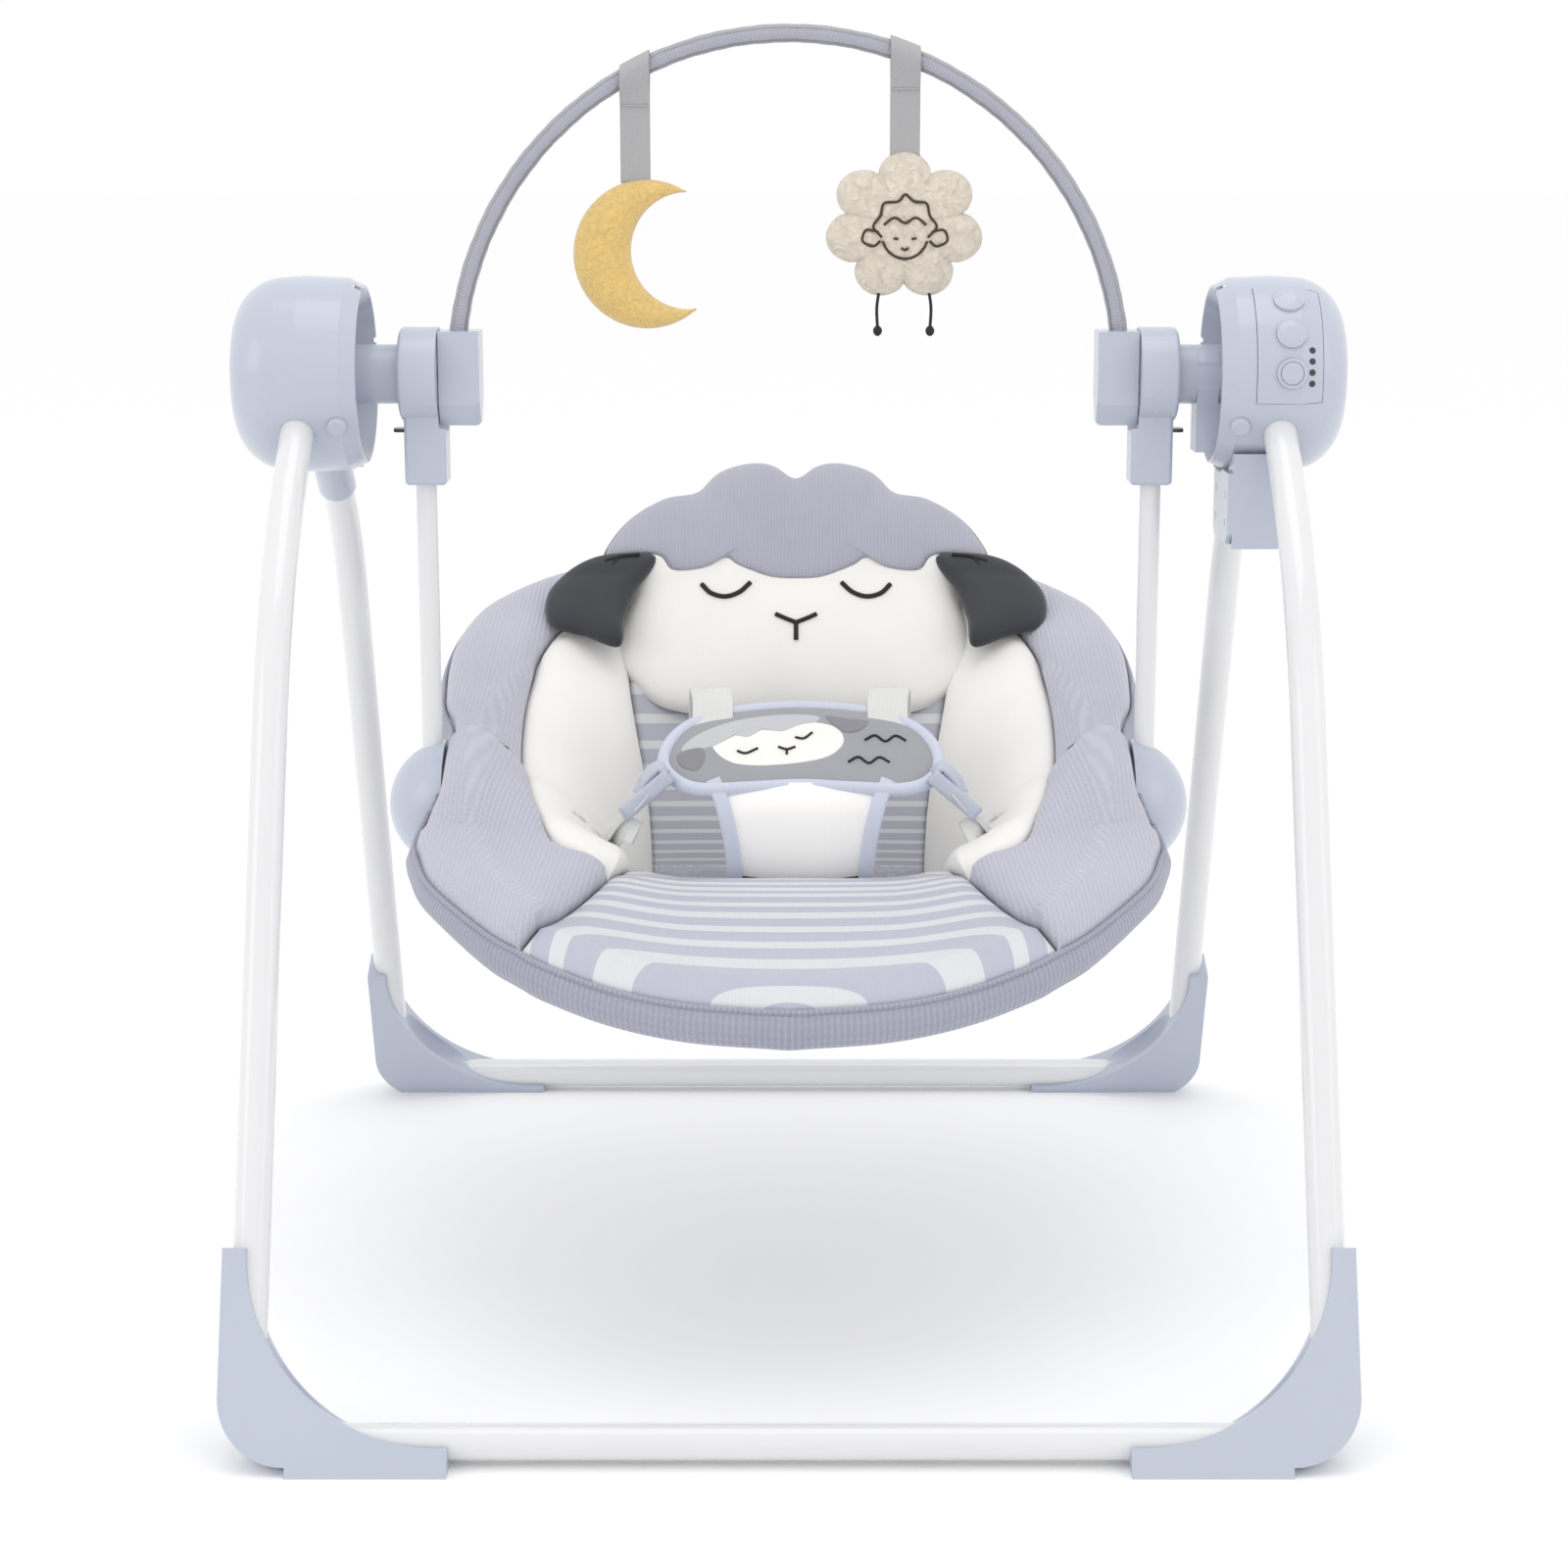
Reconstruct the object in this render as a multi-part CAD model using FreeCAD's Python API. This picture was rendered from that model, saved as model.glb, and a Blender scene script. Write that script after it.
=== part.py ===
"""Powered baby swing: a folding tube frame, two housings, a swinging seat and a toy bar.

Millimetres, +Z up; the child faces -Y.  Node names say right and left as seen from the
front, so right is +X, the side with the controls.  The origin is on the floor under the
middle of the frame.
"""
import FreeCAD
import Part
import math
import os

# ---- Frame -------------------------------------------------------------------------
LEG_X = 277.0              # plane of the leg tubes, from the middle
TUBE_D = 19.0
TUBE_WALL = 1.2
FOOT_Y = 318.0             # floor bar, from the middle
BAR_Z = 12.0
KNEE_Y, KNEE_Z = 141.0, 425.0
KNEE_R = 310.0
REAR_KNEE_R = 170.0        # tighter, because the rear leg's sleeve needs a long straight end
LEG_TOP_Y, LEG_TOP_Z = 28.0, 513.0
CORNER_R = 30.0
SPLICE_Z = 221.0           # where the upper leg sleeves over the lower frame
TENON = 40.0
FIT = 0.05                 # radial clearance of plugged and turning fits
GAP = 0.3                  # clearance between neighbours that don't touch

# ---- Feet ---------------------------------------------------------------------------
FOOT_X = LEG_X + 13.0     # outer face
FOOT_T = 26.0
FOOT_ALONG = 117.0
FOOT_UP = 97.0
FOOT_CORNER_R = 35.0

# ---- Housings -----------------------------------------------------------------------
AXIS_Z = 529.0             # swing axis, above the floor
DRUM_R = 56.0
SEAM_X = LEG_X
RIM_X = LEG_X - 34.0       # inner face of the housing
CAP_X = LEG_X + 40.0       # its outer face
WALL = 2.5
RIM_R = 49.0               # mouth of the recess round the axle
RECESS_R = 40.0            # its floor
RECESS_X = LEG_X - 21.0
AXLE_D = 12.0
BUSH_D = 18.0
BUSH_L = 10.0
OUTER_BUSH_X = LEG_X + 11.0
FOLD_PIN_D = 8.0
SOCKET_D = 23.0            # sleeve that holds the rear leg
SOCKET_L = 97.0
SOCKET_HUB_D = 26.0
FOLD_ANGLE = 50.0
SCREW_D = 2.9
SCREW_HEAD_D = 5.4
SCREW_R = 50.8
SCREW_REACH = 11.0         # past the seam
SCREW_ANGLES = (75.0, 160.0, 270.0)

# ---- Controls and battery box --------------------------------------------------------
PANEL_X0, PANEL_X1 = LEG_X - 15.0, LEG_X + 22.0
PANEL_A0, PANEL_A1 = -13.0, 64.0     # degrees above the horizontal, round the front
PANEL_T = 2.0
PANEL_PROUD = 0.5
KEY_D = 17.0
KEY_X = LEG_X + 4.0
KEY_PROUD = 2.6
KEYS = (("power_button", 51.0), ("music_button", 27.5), ("speed_button", 4.5))
LIGHT_D = 3.6
LIGHT_X = LEG_X + 15.5
LIGHT_ANGLES = (18.0, 11.5, 5.0, -1.5)
RELEASE_D = 11.0
RELEASE_X = LEG_X - 23.0
RELEASE_ANGLE = -27.5
RELEASE_PROUD = 2.2
CELL_D, CELL_L = 14.5, 50.5
BOX_X0, BOX_X1 = LEG_X - 27.0, LEG_X + 12.0
BOX_Y0, BOX_Y1 = -42.0, 15.0
BOX_Z = 433.0

# ---- Swing --------------------------------------------------------------------------
HUB_D = 54.0
HUB_X0, HUB_X1 = 201.0, 223.0
BOSS_D = 34.0
ARM_X = 210.0
ARM_D = 12.0
ARM_TOP_Z = 500.0
ARM_BOX_Z0, ARM_BOX_Z1 = 466.0, 508.0
ARM_BOX_X0, ARM_BOX_X1 = 197.0, 221.0
ARM_BOX_Y = 13.0
SEAT_Z = 276.0             # recline axis
DOME_R = 38.0
DOME_X0, DOME_X1 = 202.0, 236.0
PIVOT_D = 12.0
CRANK_X0, CRANK_X1 = RIM_X - 9.0, RIM_X + 3.0
CRANK_LOW = 44.0
CRANK_HALF = 11.0
MAGNET_D, MAGNET_T = 16.0, 4.0
COIL_D, COIL_T = 20.0, 6.0
LOCK_Z = 497.0             # thumb tab of the arm lock
LOCK_OUT = 7.0
LOCK_STROKE = 2.0

# ---- Toy bar ------------------------------------------------------------------------
BAR_X0, BAR_X1 = 177.0, 200.5
BAR_Z0, BAR_Z1 = 500.0, 554.0
BAR_Y = 13.0
ARCH_R = 191.0             # middle of the band, from the swing axis
ARCH_D = 10.0
PIN_D = 10.0               # stub that the toy bar turns on
STRAP_W, STRAP_T = 17.0, 1.4
MOON_X, MOON_DROP = -87.0, 55.0
SHEEP_X, SHEEP_DROP = 66.0, 49.0
TOY_T = 26.0
PETALS = 7

# ---- Seat ---------------------------------------------------------------------------
SEAT_TUBE_D = 12.0
PIVOT_X = 194.5            # where the seat tubes plug into the pivot discs
FRONT_SLOPE, BACK_SLOPE = 0.268, 0.50
# Corners of each U, (x, y) from disc to middle, and the bend radius at each but the first.
FRONT_CORNERS = ((PIVOT_X, 12.0), (PIVOT_X, 37.0), (209.0, 85.0), (112.0, 238.0))
FRONT_BENDS = (30.0, 70.0, 190.0)
BACK_CORNERS = ((PIVOT_X, 12.0), (PIVOT_X, 37.0), (203.0, 75.0), (203.0, 158.0), (140.0, 208.0))
BACK_BENDS = (30.0, 30.0, 88.0, 98.0)
DISC_D = 50.0
DISC_X0 = 188.0
SLING_X, SLING_FRONT, SLING_BACK = 187.0, 224.0, 198.0
HUMP_Y, HUMP_Z = -42.0, 242.0        # front edge of the hip well
WELL_Z = 200.0
BACKREST_Y, BACKREST_Z, BACKREST_SLOPE = 214.0, 362.0, 1.0   # top of the backrest and its rise
SKIN_T = 6.0
PAD_T = 12.0
PILLOW = (5.0, 181.0, 378.0)         # middle of the head pillow
PILLOW_HALF = (119.0, 90.0, 12.5)
EAR_HALF = (40.0, 30.0, 8.0)
PLATE = (7.0, -5.0, 311.0)           # middle of the belly plate
PLATE_T = 8.0
HARNESS_LEAN = 34.0                  # degrees that the belly plate leans back


# ---- Helpers ------------------------------------------------------------------------
def vec(x, y, z):
    return FreeCAD.Vector(x, y, z)


def box(x0, x1, y0, y1, z0, z1):
    return Part.makeBox(x1 - x0, y1 - y0, z1 - z0, vec(x0, y0, z0))


def cyl_x(x0, x1, diameter, y=0.0, z=AXIS_Z):
    """A cylinder along X."""
    return Part.makeCylinder(diameter / 2, x1 - x0, vec(x0, y, z), vec(1, 0, 0))


def rod(start, end, diameter):
    """A cylinder from one point to another."""
    run = end - start
    return Part.makeCylinder(diameter / 2, run.Length, start, run)


def mirror(shape):
    """The other side's copy."""
    return shape.mirror(vec(0, 0, 0), vec(1, 0, 0))


def loft_outline(points, offset, thickness):
    """A closed outline of points (vectors), extruded by a vector of a given length."""
    wire = Part.makePolygon([p + offset for p in points + points[:1]])
    return Part.Face(wire).extrude(thickness)


def prism_x(outline, x0, x1):
    """A prism along X over an outline of (y, z) points."""
    points = [vec(x0, y, z) for y, z in outline]
    return loft_outline(points, vec(0, 0, 0), vec(x1 - x0, 0, 0))


def turned(profile, angle=360.0, start=None):
    """A closed profile of (x, radius) points or edges, turned round the swing axis.

    A part turn begins at `start` degrees above the horizontal, on the front side.
    """
    first = 0.0 if start is None else start
    a = math.radians(first)

    def place(x, r):
        return vec(x, -r * math.cos(a), AXIS_Z + r * math.sin(a))

    edges = []
    for item in profile:
        pts = [place(*p) for p in item]
        if len(pts) == 2:
            edges.append(Part.LineSegment(*pts).toShape())
        else:
            edges.append(Part.Arc(*pts).toShape())
    face = Part.Face(Part.Wire(edges))
    return face.revolve(vec(0, 0, AXIS_Z), vec(-1, 0, 0), angle)


def lines(points):
    """Straight sides between the points of a closed profile."""
    return [(points[i], points[(i + 1) % len(points)]) for i in range(len(points))]


def path(points, radii):
    """A wire of straight runs joined by tangent arcs; a radius of None takes all the room."""
    edges = []
    last = points[0]
    for i in range(1, len(points) - 1):
        here = points[i]
        back = (points[i - 1] - here)
        ahead = (points[i + 1] - here)
        room = min(back.Length, ahead.Length)
        back.normalize()
        ahead.normalize()
        half_turn = (math.pi - math.acos(max(-1.0, min(1.0, back.dot(ahead))))) / 2
        radius = radii[i - 1]
        if radius is None:
            radius = 0.45 * room / math.tan(half_turn)
        reach = radius * math.tan(half_turn)
        start = here + back * reach
        end = here + ahead * reach
        middle = (back + ahead).normalize()
        centre = here + middle * (radius / math.cos(half_turn))
        edges.append(Part.LineSegment(last, start).toShape())
        edges.append(Part.Arc(start, centre - middle * radius, end).toShape())
        last = end
    edges.append(Part.LineSegment(last, points[-1]).toShape())
    return Part.Wire(edges)


def sweep(points, radii, diameter):
    """A round bar along a path."""
    spine = path(points, radii)
    start = points[0]
    along = points[1] - points[0]
    ring = Part.Wire([Part.makeCircle(diameter / 2, start, along)])
    return spine.makePipeShell([ring], True, False)


def tube(points, radii, diameter, wall):
    return sweep(points, radii, diameter).cut(sweep(points, radii, diameter - 2 * wall))


def spherical_cap(x0, x1, radius, z):
    """A dome facing +X on a flat disc: the radius is that of its rim."""
    height = x1 - x0
    big = (radius ** 2 + height ** 2) / (2 * height)
    ball = Part.makeSphere(big, vec(x1 - big, 0, z))
    return ball.common(box(x0, x1 + 1, -big, big, z - big, z + big))


# ---- Frame tubes ---------------------------------------------------------------------
LEG_Y0 = FOOT_Y                       # the straight lower leg, from foot to knee
LEG_SLOPE = (LEG_Y0 - KNEE_Y) / (KNEE_Z - BAR_Z)
SPLICE_Y = LEG_Y0 - LEG_SLOPE * (SPLICE_Z - BAR_Z)
LEG_ANGLE = math.atan(LEG_SLOPE)
TUBE_BORE = TUBE_D - 2 * TUBE_WALL
TOP_RUN = vec(0, KNEE_Y - LEG_TOP_Y, KNEE_Z - LEG_TOP_Z).normalize()   # down the rear leg


def floor_tube(side):
    """The lower frame: floor bar, two corners and both lower legs; side is -1 at the front."""
    ends = [vec(s * LEG_X, side * SPLICE_Y, SPLICE_Z) for s in (-1, 1)]
    corners = [vec(s * LEG_X, side * FOOT_Y, BAR_Z) for s in (-1, 1)]
    points = [ends[0], corners[0], corners[1], ends[1]]
    body = tube(points, [CORNER_R, CORNER_R], TUBE_D, TUBE_WALL)
    for end, corner in zip(ends, corners):
        up = (end - corner).normalize()
        plug_d = TUBE_BORE - 2 * FIT
        collar = rod(end - up * 6, end, TUBE_BORE + TUBE_WALL)
        tenon = rod(end - up * 4, end + up * TENON, plug_d)
        bore = rod(end - up * 7, end + up * (TENON + 1), plug_d - 2 * TUBE_WALL)
        body = body.fuse(collar).fuse(tenon).cut(bore)
    return body


def upper_leg(side):
    """The upper leg on the +X side, from the splice into the housing."""
    points = leg_points(side)
    return tube(points, [KNEE_R], TUBE_D, TUBE_WALL)


def leg_points(side):
    return [vec(LEG_X, side * SPLICE_Y, SPLICE_Z), vec(LEG_X, side * KNEE_Y, KNEE_Z),
            vec(LEG_X, side * LEG_TOP_Y, LEG_TOP_Z)]


def foot(side):
    """The +X corner shoe: an L outline in the plane of the tubes, flat on the floor."""
    up = vec(0, -side * math.sin(LEG_ANGLE), math.cos(LEG_ANGLE))
    normal = vec(0, side * math.cos(LEG_ANGLE), math.sin(LEG_ANGLE))
    origin = vec(0, side * FOOT_Y, BAR_Z)

    def at(x, w):
        return origin + vec(x, 0, 0) + up * w - normal * (FOOT_T / 2)

    low = -1.5 * TUBE_D
    inner = FOOT_X - FOOT_ALONG
    r = FOOT_CORNER_R
    floor_w = -BAR_Z / math.cos(LEG_ANGLE)
    bend = r * (1 - math.sqrt(0.5))
    edges = [
        Part.LineSegment(at(inner, low), at(FOOT_X - r, low)),
        Part.LineSegment(at(FOOT_X - r, low), at(FOOT_X - r, floor_w)),
        Part.Arc(at(FOOT_X - r, floor_w), at(FOOT_X - bend, floor_w + bend), at(FOOT_X, floor_w + r)),
        Part.LineSegment(at(FOOT_X, floor_w + r), at(FOOT_X, FOOT_UP)),
        Part.LineSegment(at(FOOT_X, FOOT_UP), at(FOOT_X - 12, FOOT_UP)),
        Part.Arc(at(FOOT_X - 12, FOOT_UP), at(FOOT_X - 41, 26), at(inner, -3)),
        Part.LineSegment(at(inner, -3), at(inner, low)),
    ]
    shell = Part.Face(Part.Wire([e.toShape() for e in edges])).extrude(normal * FOOT_T)
    far = 2 * FOOT_Y
    shell = shell.common(box(0, far, -far, far, 0, far))
    passage = sweep([vec(-FOOT_ALONG, side * FOOT_Y, BAR_Z), vec(LEG_X, side * FOOT_Y, BAR_Z),
                     vec(LEG_X, side * SPLICE_Y, SPLICE_Z)], [CORNER_R], TUBE_D + 2 * FIT)
    slot = passage.copy()
    slot.translate(vec(-TUBE_D, 0, 0) + up * TUBE_D)
    return shell.cut(passage).cut(slot)


def leg_socket():
    """The +X rear sleeve: it holds the leg's end and turns on the fold pin."""
    pivot = vec(LEG_X, LEG_TOP_Y, LEG_TOP_Z)
    sleeve = rod(pivot, pivot + TOP_RUN * SOCKET_L, SOCKET_D)
    hub = cyl_x(LEG_X - SOCKET_D / 2, LEG_X + SOCKET_D / 2, SOCKET_HUB_D, LEG_TOP_Y, LEG_TOP_Z)
    bore = rod(pivot + TOP_RUN * LEG_STOP, pivot + TOP_RUN * (SOCKET_L + 1), TUBE_D + 2 * FIT)
    pin = cyl_x(LEG_X - SOCKET_D, LEG_X + SOCKET_D, FOLD_PIN_D + 2 * FIT, LEG_TOP_Y, LEG_TOP_Z)
    return hub.fuse(sleeve).cut(bore).cut(pin)


LEG_STOP = SOCKET_HUB_D / 2 + 1.0     # the rear leg ends clear of the fold pin


def rear_leg():
    """The +X rear leg: as the front one, but cut short for the fold pin."""
    points = leg_points(1)
    points[-1] = points[-1] + TOP_RUN * LEG_STOP
    return tube(points, [REAR_KNEE_R], TUBE_D, TUBE_WALL)


# ---- Housings ------------------------------------------------------------------------
SPEAKER_YZ = (12.0, AXIS_Z + 25.0)


def drum_profile(inset):
    """Half section of the housing's outside, moved in by a wall."""
    r = DRUM_R - inset
    cap = CAP_X - inset
    rim = RIM_X + inset
    return [((rim, 0), (rim, r - 5.5)), ((rim, r - 5.5), (rim + 9, r - 1)),
            ((rim + 9, r - 1), (SEAM_X, r)), ((SEAM_X, r), (SEAM_X + 11, r - 0.8)),
            ((SEAM_X + 11, r - 0.8), (cap - 8.5, r - 9.5), (cap, r - 30)),
            ((cap, r - 30), (cap + 1, 0)), ((cap + 1, 0), (rim, 0))]


def drum(inset):
    return turned(drum_profile(inset))


def recess(out):
    """The dished mouth round the axle, or its back when moved out by a wall."""
    return turned(lines([(RIM_X - 1, 0), (RIM_X - 1, RIM_R + out), (RIM_X, RIM_R + out),
                         (RECESS_X + out, RECESS_R + out), (RECESS_X + out, 0)]))


def fold_slot():
    """The way of the rear sleeve as it folds: a fan round the fold pin."""
    clear = SOCKET_HUB_D / 2 + 1.0
    reach = 2 * DRUM_R
    pivot_y, pivot_z = LEG_TOP_Y, LEG_TOP_Z
    open_a = math.atan2(TOP_RUN.y, -TOP_RUN.z)
    shut_a = open_a - math.radians(FOLD_ANGLE)

    def out(angle, sideways, along):
        return (pivot_y + along * math.sin(angle) + sideways * math.cos(angle),
                pivot_z - along * math.cos(angle) + sideways * math.sin(angle))

    fan = [out(open_a, clear, 0), out(open_a, clear, reach), out(shut_a, 0, 1.3 * reach),
           out(shut_a, -clear, reach), out(shut_a, -clear, 0)]
    half = SOCKET_D / 2 + 0.6
    round_end = cyl_x(LEG_X - half, LEG_X + half, 2 * clear, pivot_y, pivot_z)
    return prism_x(fan, LEG_X - half, LEG_X + half).fuse(round_end)


def screw_places():
    return [(-SCREW_R * math.cos(math.radians(a)), AXIS_Z + SCREW_R * math.sin(math.radians(a)))
            for a in SCREW_ANGLES]


def on_drum(angle, radius, x):
    """A point round the housing: the angle is above the horizontal, round the front."""
    a = math.radians(angle)
    return vec(x, -radius * math.cos(a), AXIS_Z + radius * math.sin(a))


def housing_halves(with_panel):
    """The +X housing as an inner shell and an outer cap, split at the plane of the tubes."""
    outside = drum(0)
    inside = drum(WALL)
    hollow = recess(WALL)
    shell = outside.cut(inside).fuse(outside.common(hollow))
    saddle = box(LEG_X - 14, LEG_X + 14, -60, -LEG_TOP_Y + 4, AXIS_Z - 45, AXIS_Z - 3)
    shell = shell.fuse(saddle.common(outside))
    bush_y_z = (0.0, AXIS_Z)
    for x0, x1 in ((RECESS_X, RECESS_X + BUSH_L), (OUTER_BUSH_X, CAP_X - 1)):
        shell = shell.fuse(cyl_x(x0, x1, BUSH_D + 6, *bush_y_z))
    pin_top = LEG_X + SOCKET_D / 2 + 0.6
    shell = shell.fuse(cyl_x(pin_top, CAP_X - 8, FOLD_PIN_D + 7, LEG_TOP_Y, LEG_TOP_Z).common(outside))
    for y, z in screw_places():
        post = cyl_x(RIM_X + 4, SEAM_X + SCREW_REACH + 3, SCREW_D + 3.6, y, z)
        shell = shell.fuse(post.common(outside))
    if with_panel:
        cup = cyl_x(CAP_X - 19, CAP_X - 1, 22, *SPEAKER_YZ).cut(cyl_x(CAP_X - 20, CAP_X, 17, *SPEAKER_YZ))
        rail = box(LEG_X + 20, CAP_X, -37, -28, AXIS_Z + 6, AXIS_Z + 22)
        shell = shell.fuse(cup.common(outside)).fuse(rail.common(outside))
    shell = shell.cut(recess(0)).cut(fold_slot())
    for x0, x1, d in ((RECESS_X - 1, RECESS_X + BUSH_L + 1, BUSH_D + 2 * FIT),
                      (OUTER_BUSH_X - 1, OUTER_BUSH_X + BUSH_L, BUSH_D + 2 * FIT)):
        shell = shell.cut(cyl_x(x0, x1, d, *bush_y_z))
    shell = shell.cut(cyl_x(pin_top - 1, FOLD_PIN_X1, FOLD_PIN_D + 2 * FIT, LEG_TOP_Y, LEG_TOP_Z))
    shell = shell.cut(sweep(leg_points(-1), [KNEE_R], TUBE_D + 2 * FIT))
    for y, z in screw_places():
        shell = shell.cut(cyl_x(RIM_X - 1, SEAM_X + SCREW_REACH, SCREW_D + 2 * FIT, y, z))
        shell = shell.cut(cyl_x(RIM_X - 1, RIM_X + 6, SCREW_HEAD_D + 2 * FIT, y, z))
    release = rod(on_drum(RELEASE_ANGLE, DRUM_R - 12, RELEASE_X),
                  on_drum(RELEASE_ANGLE, DRUM_R + 5, RELEASE_X), RELEASE_D + 4 * FIT)
    shell = shell.cut(release)
    if with_panel:
        shell = shell.cut(panel_band(PANEL_T + GAP, 2.0, GAP))
        for _, angle in KEYS:
            shell = shell.cut(rod(on_drum(angle, DRUM_R - 9, KEY_X), on_drum(angle, DRUM_R + 5, KEY_X),
                                  KEY_D + 4 * FIT))
        for angle in LIGHT_ANGLES:
            shell = shell.cut(rod(on_drum(angle, DRUM_R - 9, LIGHT_X),
                                  on_drum(angle, DRUM_R + 5, LIGHT_X), LIGHT_D + 4 * FIT))
    big = 2 * DRUM_R
    split = box(SEAM_X, CAP_X + 5, -big, big, AXIS_Z - big, AXIS_Z + big)
    return biggest(shell.cut(split)), biggest(shell.common(split))


def biggest(shape):
    """The main solid, without the crumbs that crossing cuts leave."""
    return max(shape.Solids, key=lambda s: s.Volume)


FOLD_PIN_X0 = RECESS_X + WALL + GAP
FOLD_PIN_X1 = CAP_X - 14.0


def panel_band(depth, proud, margin):
    """The control panel's curved slab, from below the surface to above it."""
    x0, x1 = PANEL_X0 - margin, PANEL_X1 + margin
    lo, hi = DRUM_R - depth, DRUM_R + proud
    fall = 3.6                    # the cap curves away at the panel's outer edge
    profile = lines([(x0, lo - 0.6), (x0, hi - 0.6), (SEAM_X + 10, hi - 0.2), (x1, hi - fall),
                     (x1, lo - fall), (SEAM_X + 10, lo - 0.2)])
    extra = math.degrees(margin / DRUM_R)
    return turned(profile, PANEL_A1 - PANEL_A0 + 2 * extra, PANEL_A0 - extra)


def bushes():
    """The +X side's two bearing bushes."""
    pair = []
    for x in (RECESS_X, OUTER_BUSH_X):
        bush = cyl_x(x, x + BUSH_L, BUSH_D)
        pair.append(bush.cut(cyl_x(x - 1, x + BUSH_L + 1, AXLE_D + 2 * FIT)))
    return pair


def fold_pin():
    return cyl_x(FOLD_PIN_X0, FOLD_PIN_X1, FOLD_PIN_D, LEG_TOP_Y, LEG_TOP_Z)


def housing_screws():
    """The +X side's screws: heads sunk in the rim, shanks across the seam."""
    screws = []
    for y, z in screw_places():
        head = cyl_x(RIM_X + 3.5, RIM_X + 6, SCREW_HEAD_D, y, z)
        shank = cyl_x(RIM_X + 6, SEAM_X + SCREW_REACH, SCREW_D, y, z)
        slot = box(RIM_X + 3, RIM_X + 4.5, y - 0.4, y + 0.4, z - SCREW_D, z + SCREW_D)
        screws.append(head.fuse(shank).cut(slot))
    return screws


def release_button():
    """The +X fold release: a plunger in the housing's lower front."""
    body = rod(on_drum(RELEASE_ANGLE, DRUM_R - 7.5, RELEASE_X),
               on_drum(RELEASE_ANGLE, DRUM_R + RELEASE_PROUD, RELEASE_X), RELEASE_D)
    return body.makeFillet(1.5, [body.Edges[0]]) if body.Edges else body


# ---- Controls ------------------------------------------------------------------------
def control_panel():
    panel = panel_band(PANEL_T, PANEL_PROUD, 0)
    for _, angle in KEYS:
        panel = panel.cut(rod(on_drum(angle, DRUM_R - 9, KEY_X), on_drum(angle, DRUM_R + 5, KEY_X),
                              KEY_D + 4 * FIT))
    for angle in LIGHT_ANGLES:
        panel = panel.cut(rod(on_drum(angle, DRUM_R - 9, LIGHT_X), on_drum(angle, DRUM_R + 5, LIGHT_X),
                              LIGHT_D + 2 * FIT))
    return panel


def key(name, angle):
    """A round key with a domed top; the speed key has a ring groove."""
    inner = on_drum(angle, DRUM_R - 5.5, KEY_X)
    outer = on_drum(angle, DRUM_R + KEY_PROUD, KEY_X)
    out = (outer - inner).normalize()
    body = rod(inner, outer, KEY_D)
    ball_r = 20.0
    ball = Part.makeSphere(ball_r, outer + out * (0.4 - ball_r))
    body = body.common(ball.fuse(rod(inner - out, outer - out * 1.2, KEY_D + 2)))
    if name == "speed_button":
        ring = rod(outer - out * 1.4, outer + out, KEY_D - 3.4).cut(
            rod(outer - out * 2, outer + out * 2, KEY_D - 4.8))
        body = body.cut(ring)
    return body


def lights():
    return [rod(on_drum(a, DRUM_R - 6, LIGHT_X), on_drum(a, DRUM_R - 1.2, LIGHT_X), LIGHT_D)
            for a in LIGHT_ANGLES]


def circuit_board():
    y = -33.0
    board = box(LEG_X - 14, LEG_X + 20, y, y + 1.6, AXIS_Z - 2, AXIS_Z + 29)
    chip = box(LEG_X - 6, LEG_X + 6, y + 1.6, y + 3.6, AXIS_Z + 8, AXIS_Z + 20)
    switches = [box(KEY_X - 3, KEY_X + 3, y - 3, y, AXIS_Z + h, AXIS_Z + h + 6) for h in (1, 21)]
    return board.fuse(chip).fuse(switches[0]).fuse(switches[1])


def speaker():
    """A small round speaker against the cap."""
    cone = cyl_x(CAP_X - 24, CAP_X - 19, 20, *SPEAKER_YZ)
    magnet = cyl_x(CAP_X - 29, CAP_X - 24, 12, *SPEAKER_YZ)
    return cone.fuse(magnet)


def drive_coil():
    """The coil behind the recess, which pushes the crank's magnet."""
    x = RECESS_X + WALL
    z = AXIS_Z - CRANK_LOW + MAGNET_D / 2 + 4
    ring = cyl_x(x, x + COIL_T, COIL_D, -3.0, z)
    return ring.cut(cyl_x(x - 1, x + COIL_T + 1, COIL_D / 2.5, -3.0, z))


# ---- Battery box ---------------------------------------------------------------------
CELL_STEP = CELL_D + 0.5
CELL_X, CELL_Z = BOX_X0 + 6.0 + CELL_D / 2, BOX_Z + WALL + CELL_D / 2 + 0.5
CELL_ROWS = [(CELL_X + i * CELL_STEP, CELL_Z + j * CELL_STEP) for i in (0, 1) for j in (0, 1)]
CELL_Y0 = (BOX_Y0 + BOX_Y1 - CELL_L) / 2
CELL_TOP_Z = BOX_Z + WALL + 2 * CELL_D + 1.5


def battery_box():
    """The box under the control side's housing, open towards the seat."""
    outer = box(BOX_X0 + 2, BOX_X1, BOX_Y0, BOX_Y1, BOX_Z, AXIS_Z - 42)
    low = [e for e in outer.Edges if e.BoundBox.ZMax < BOX_Z + 0.1 and e.BoundBox.XMin > BOX_X1 - 0.1]
    outer = outer.makeFillet(WALL, low).cut(cyl_x(0, CAP_X, 2 * DRUM_R + 2 * FIT))
    room = box(BOX_X0, CELL_ROWS[3][0] + CELL_D / 2 + 0.5, CELL_Y0 - 1.2, CELL_Y0 + CELL_L + 1.2,
               BOX_Z + WALL, CELL_TOP_Z)
    wires = Part.makeCylinder(3, 60, vec(BOX_X1 - 9, -10, CELL_TOP_Z - 4), vec(0, 0, 1))
    return outer.cut(room).cut(wires)


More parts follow.
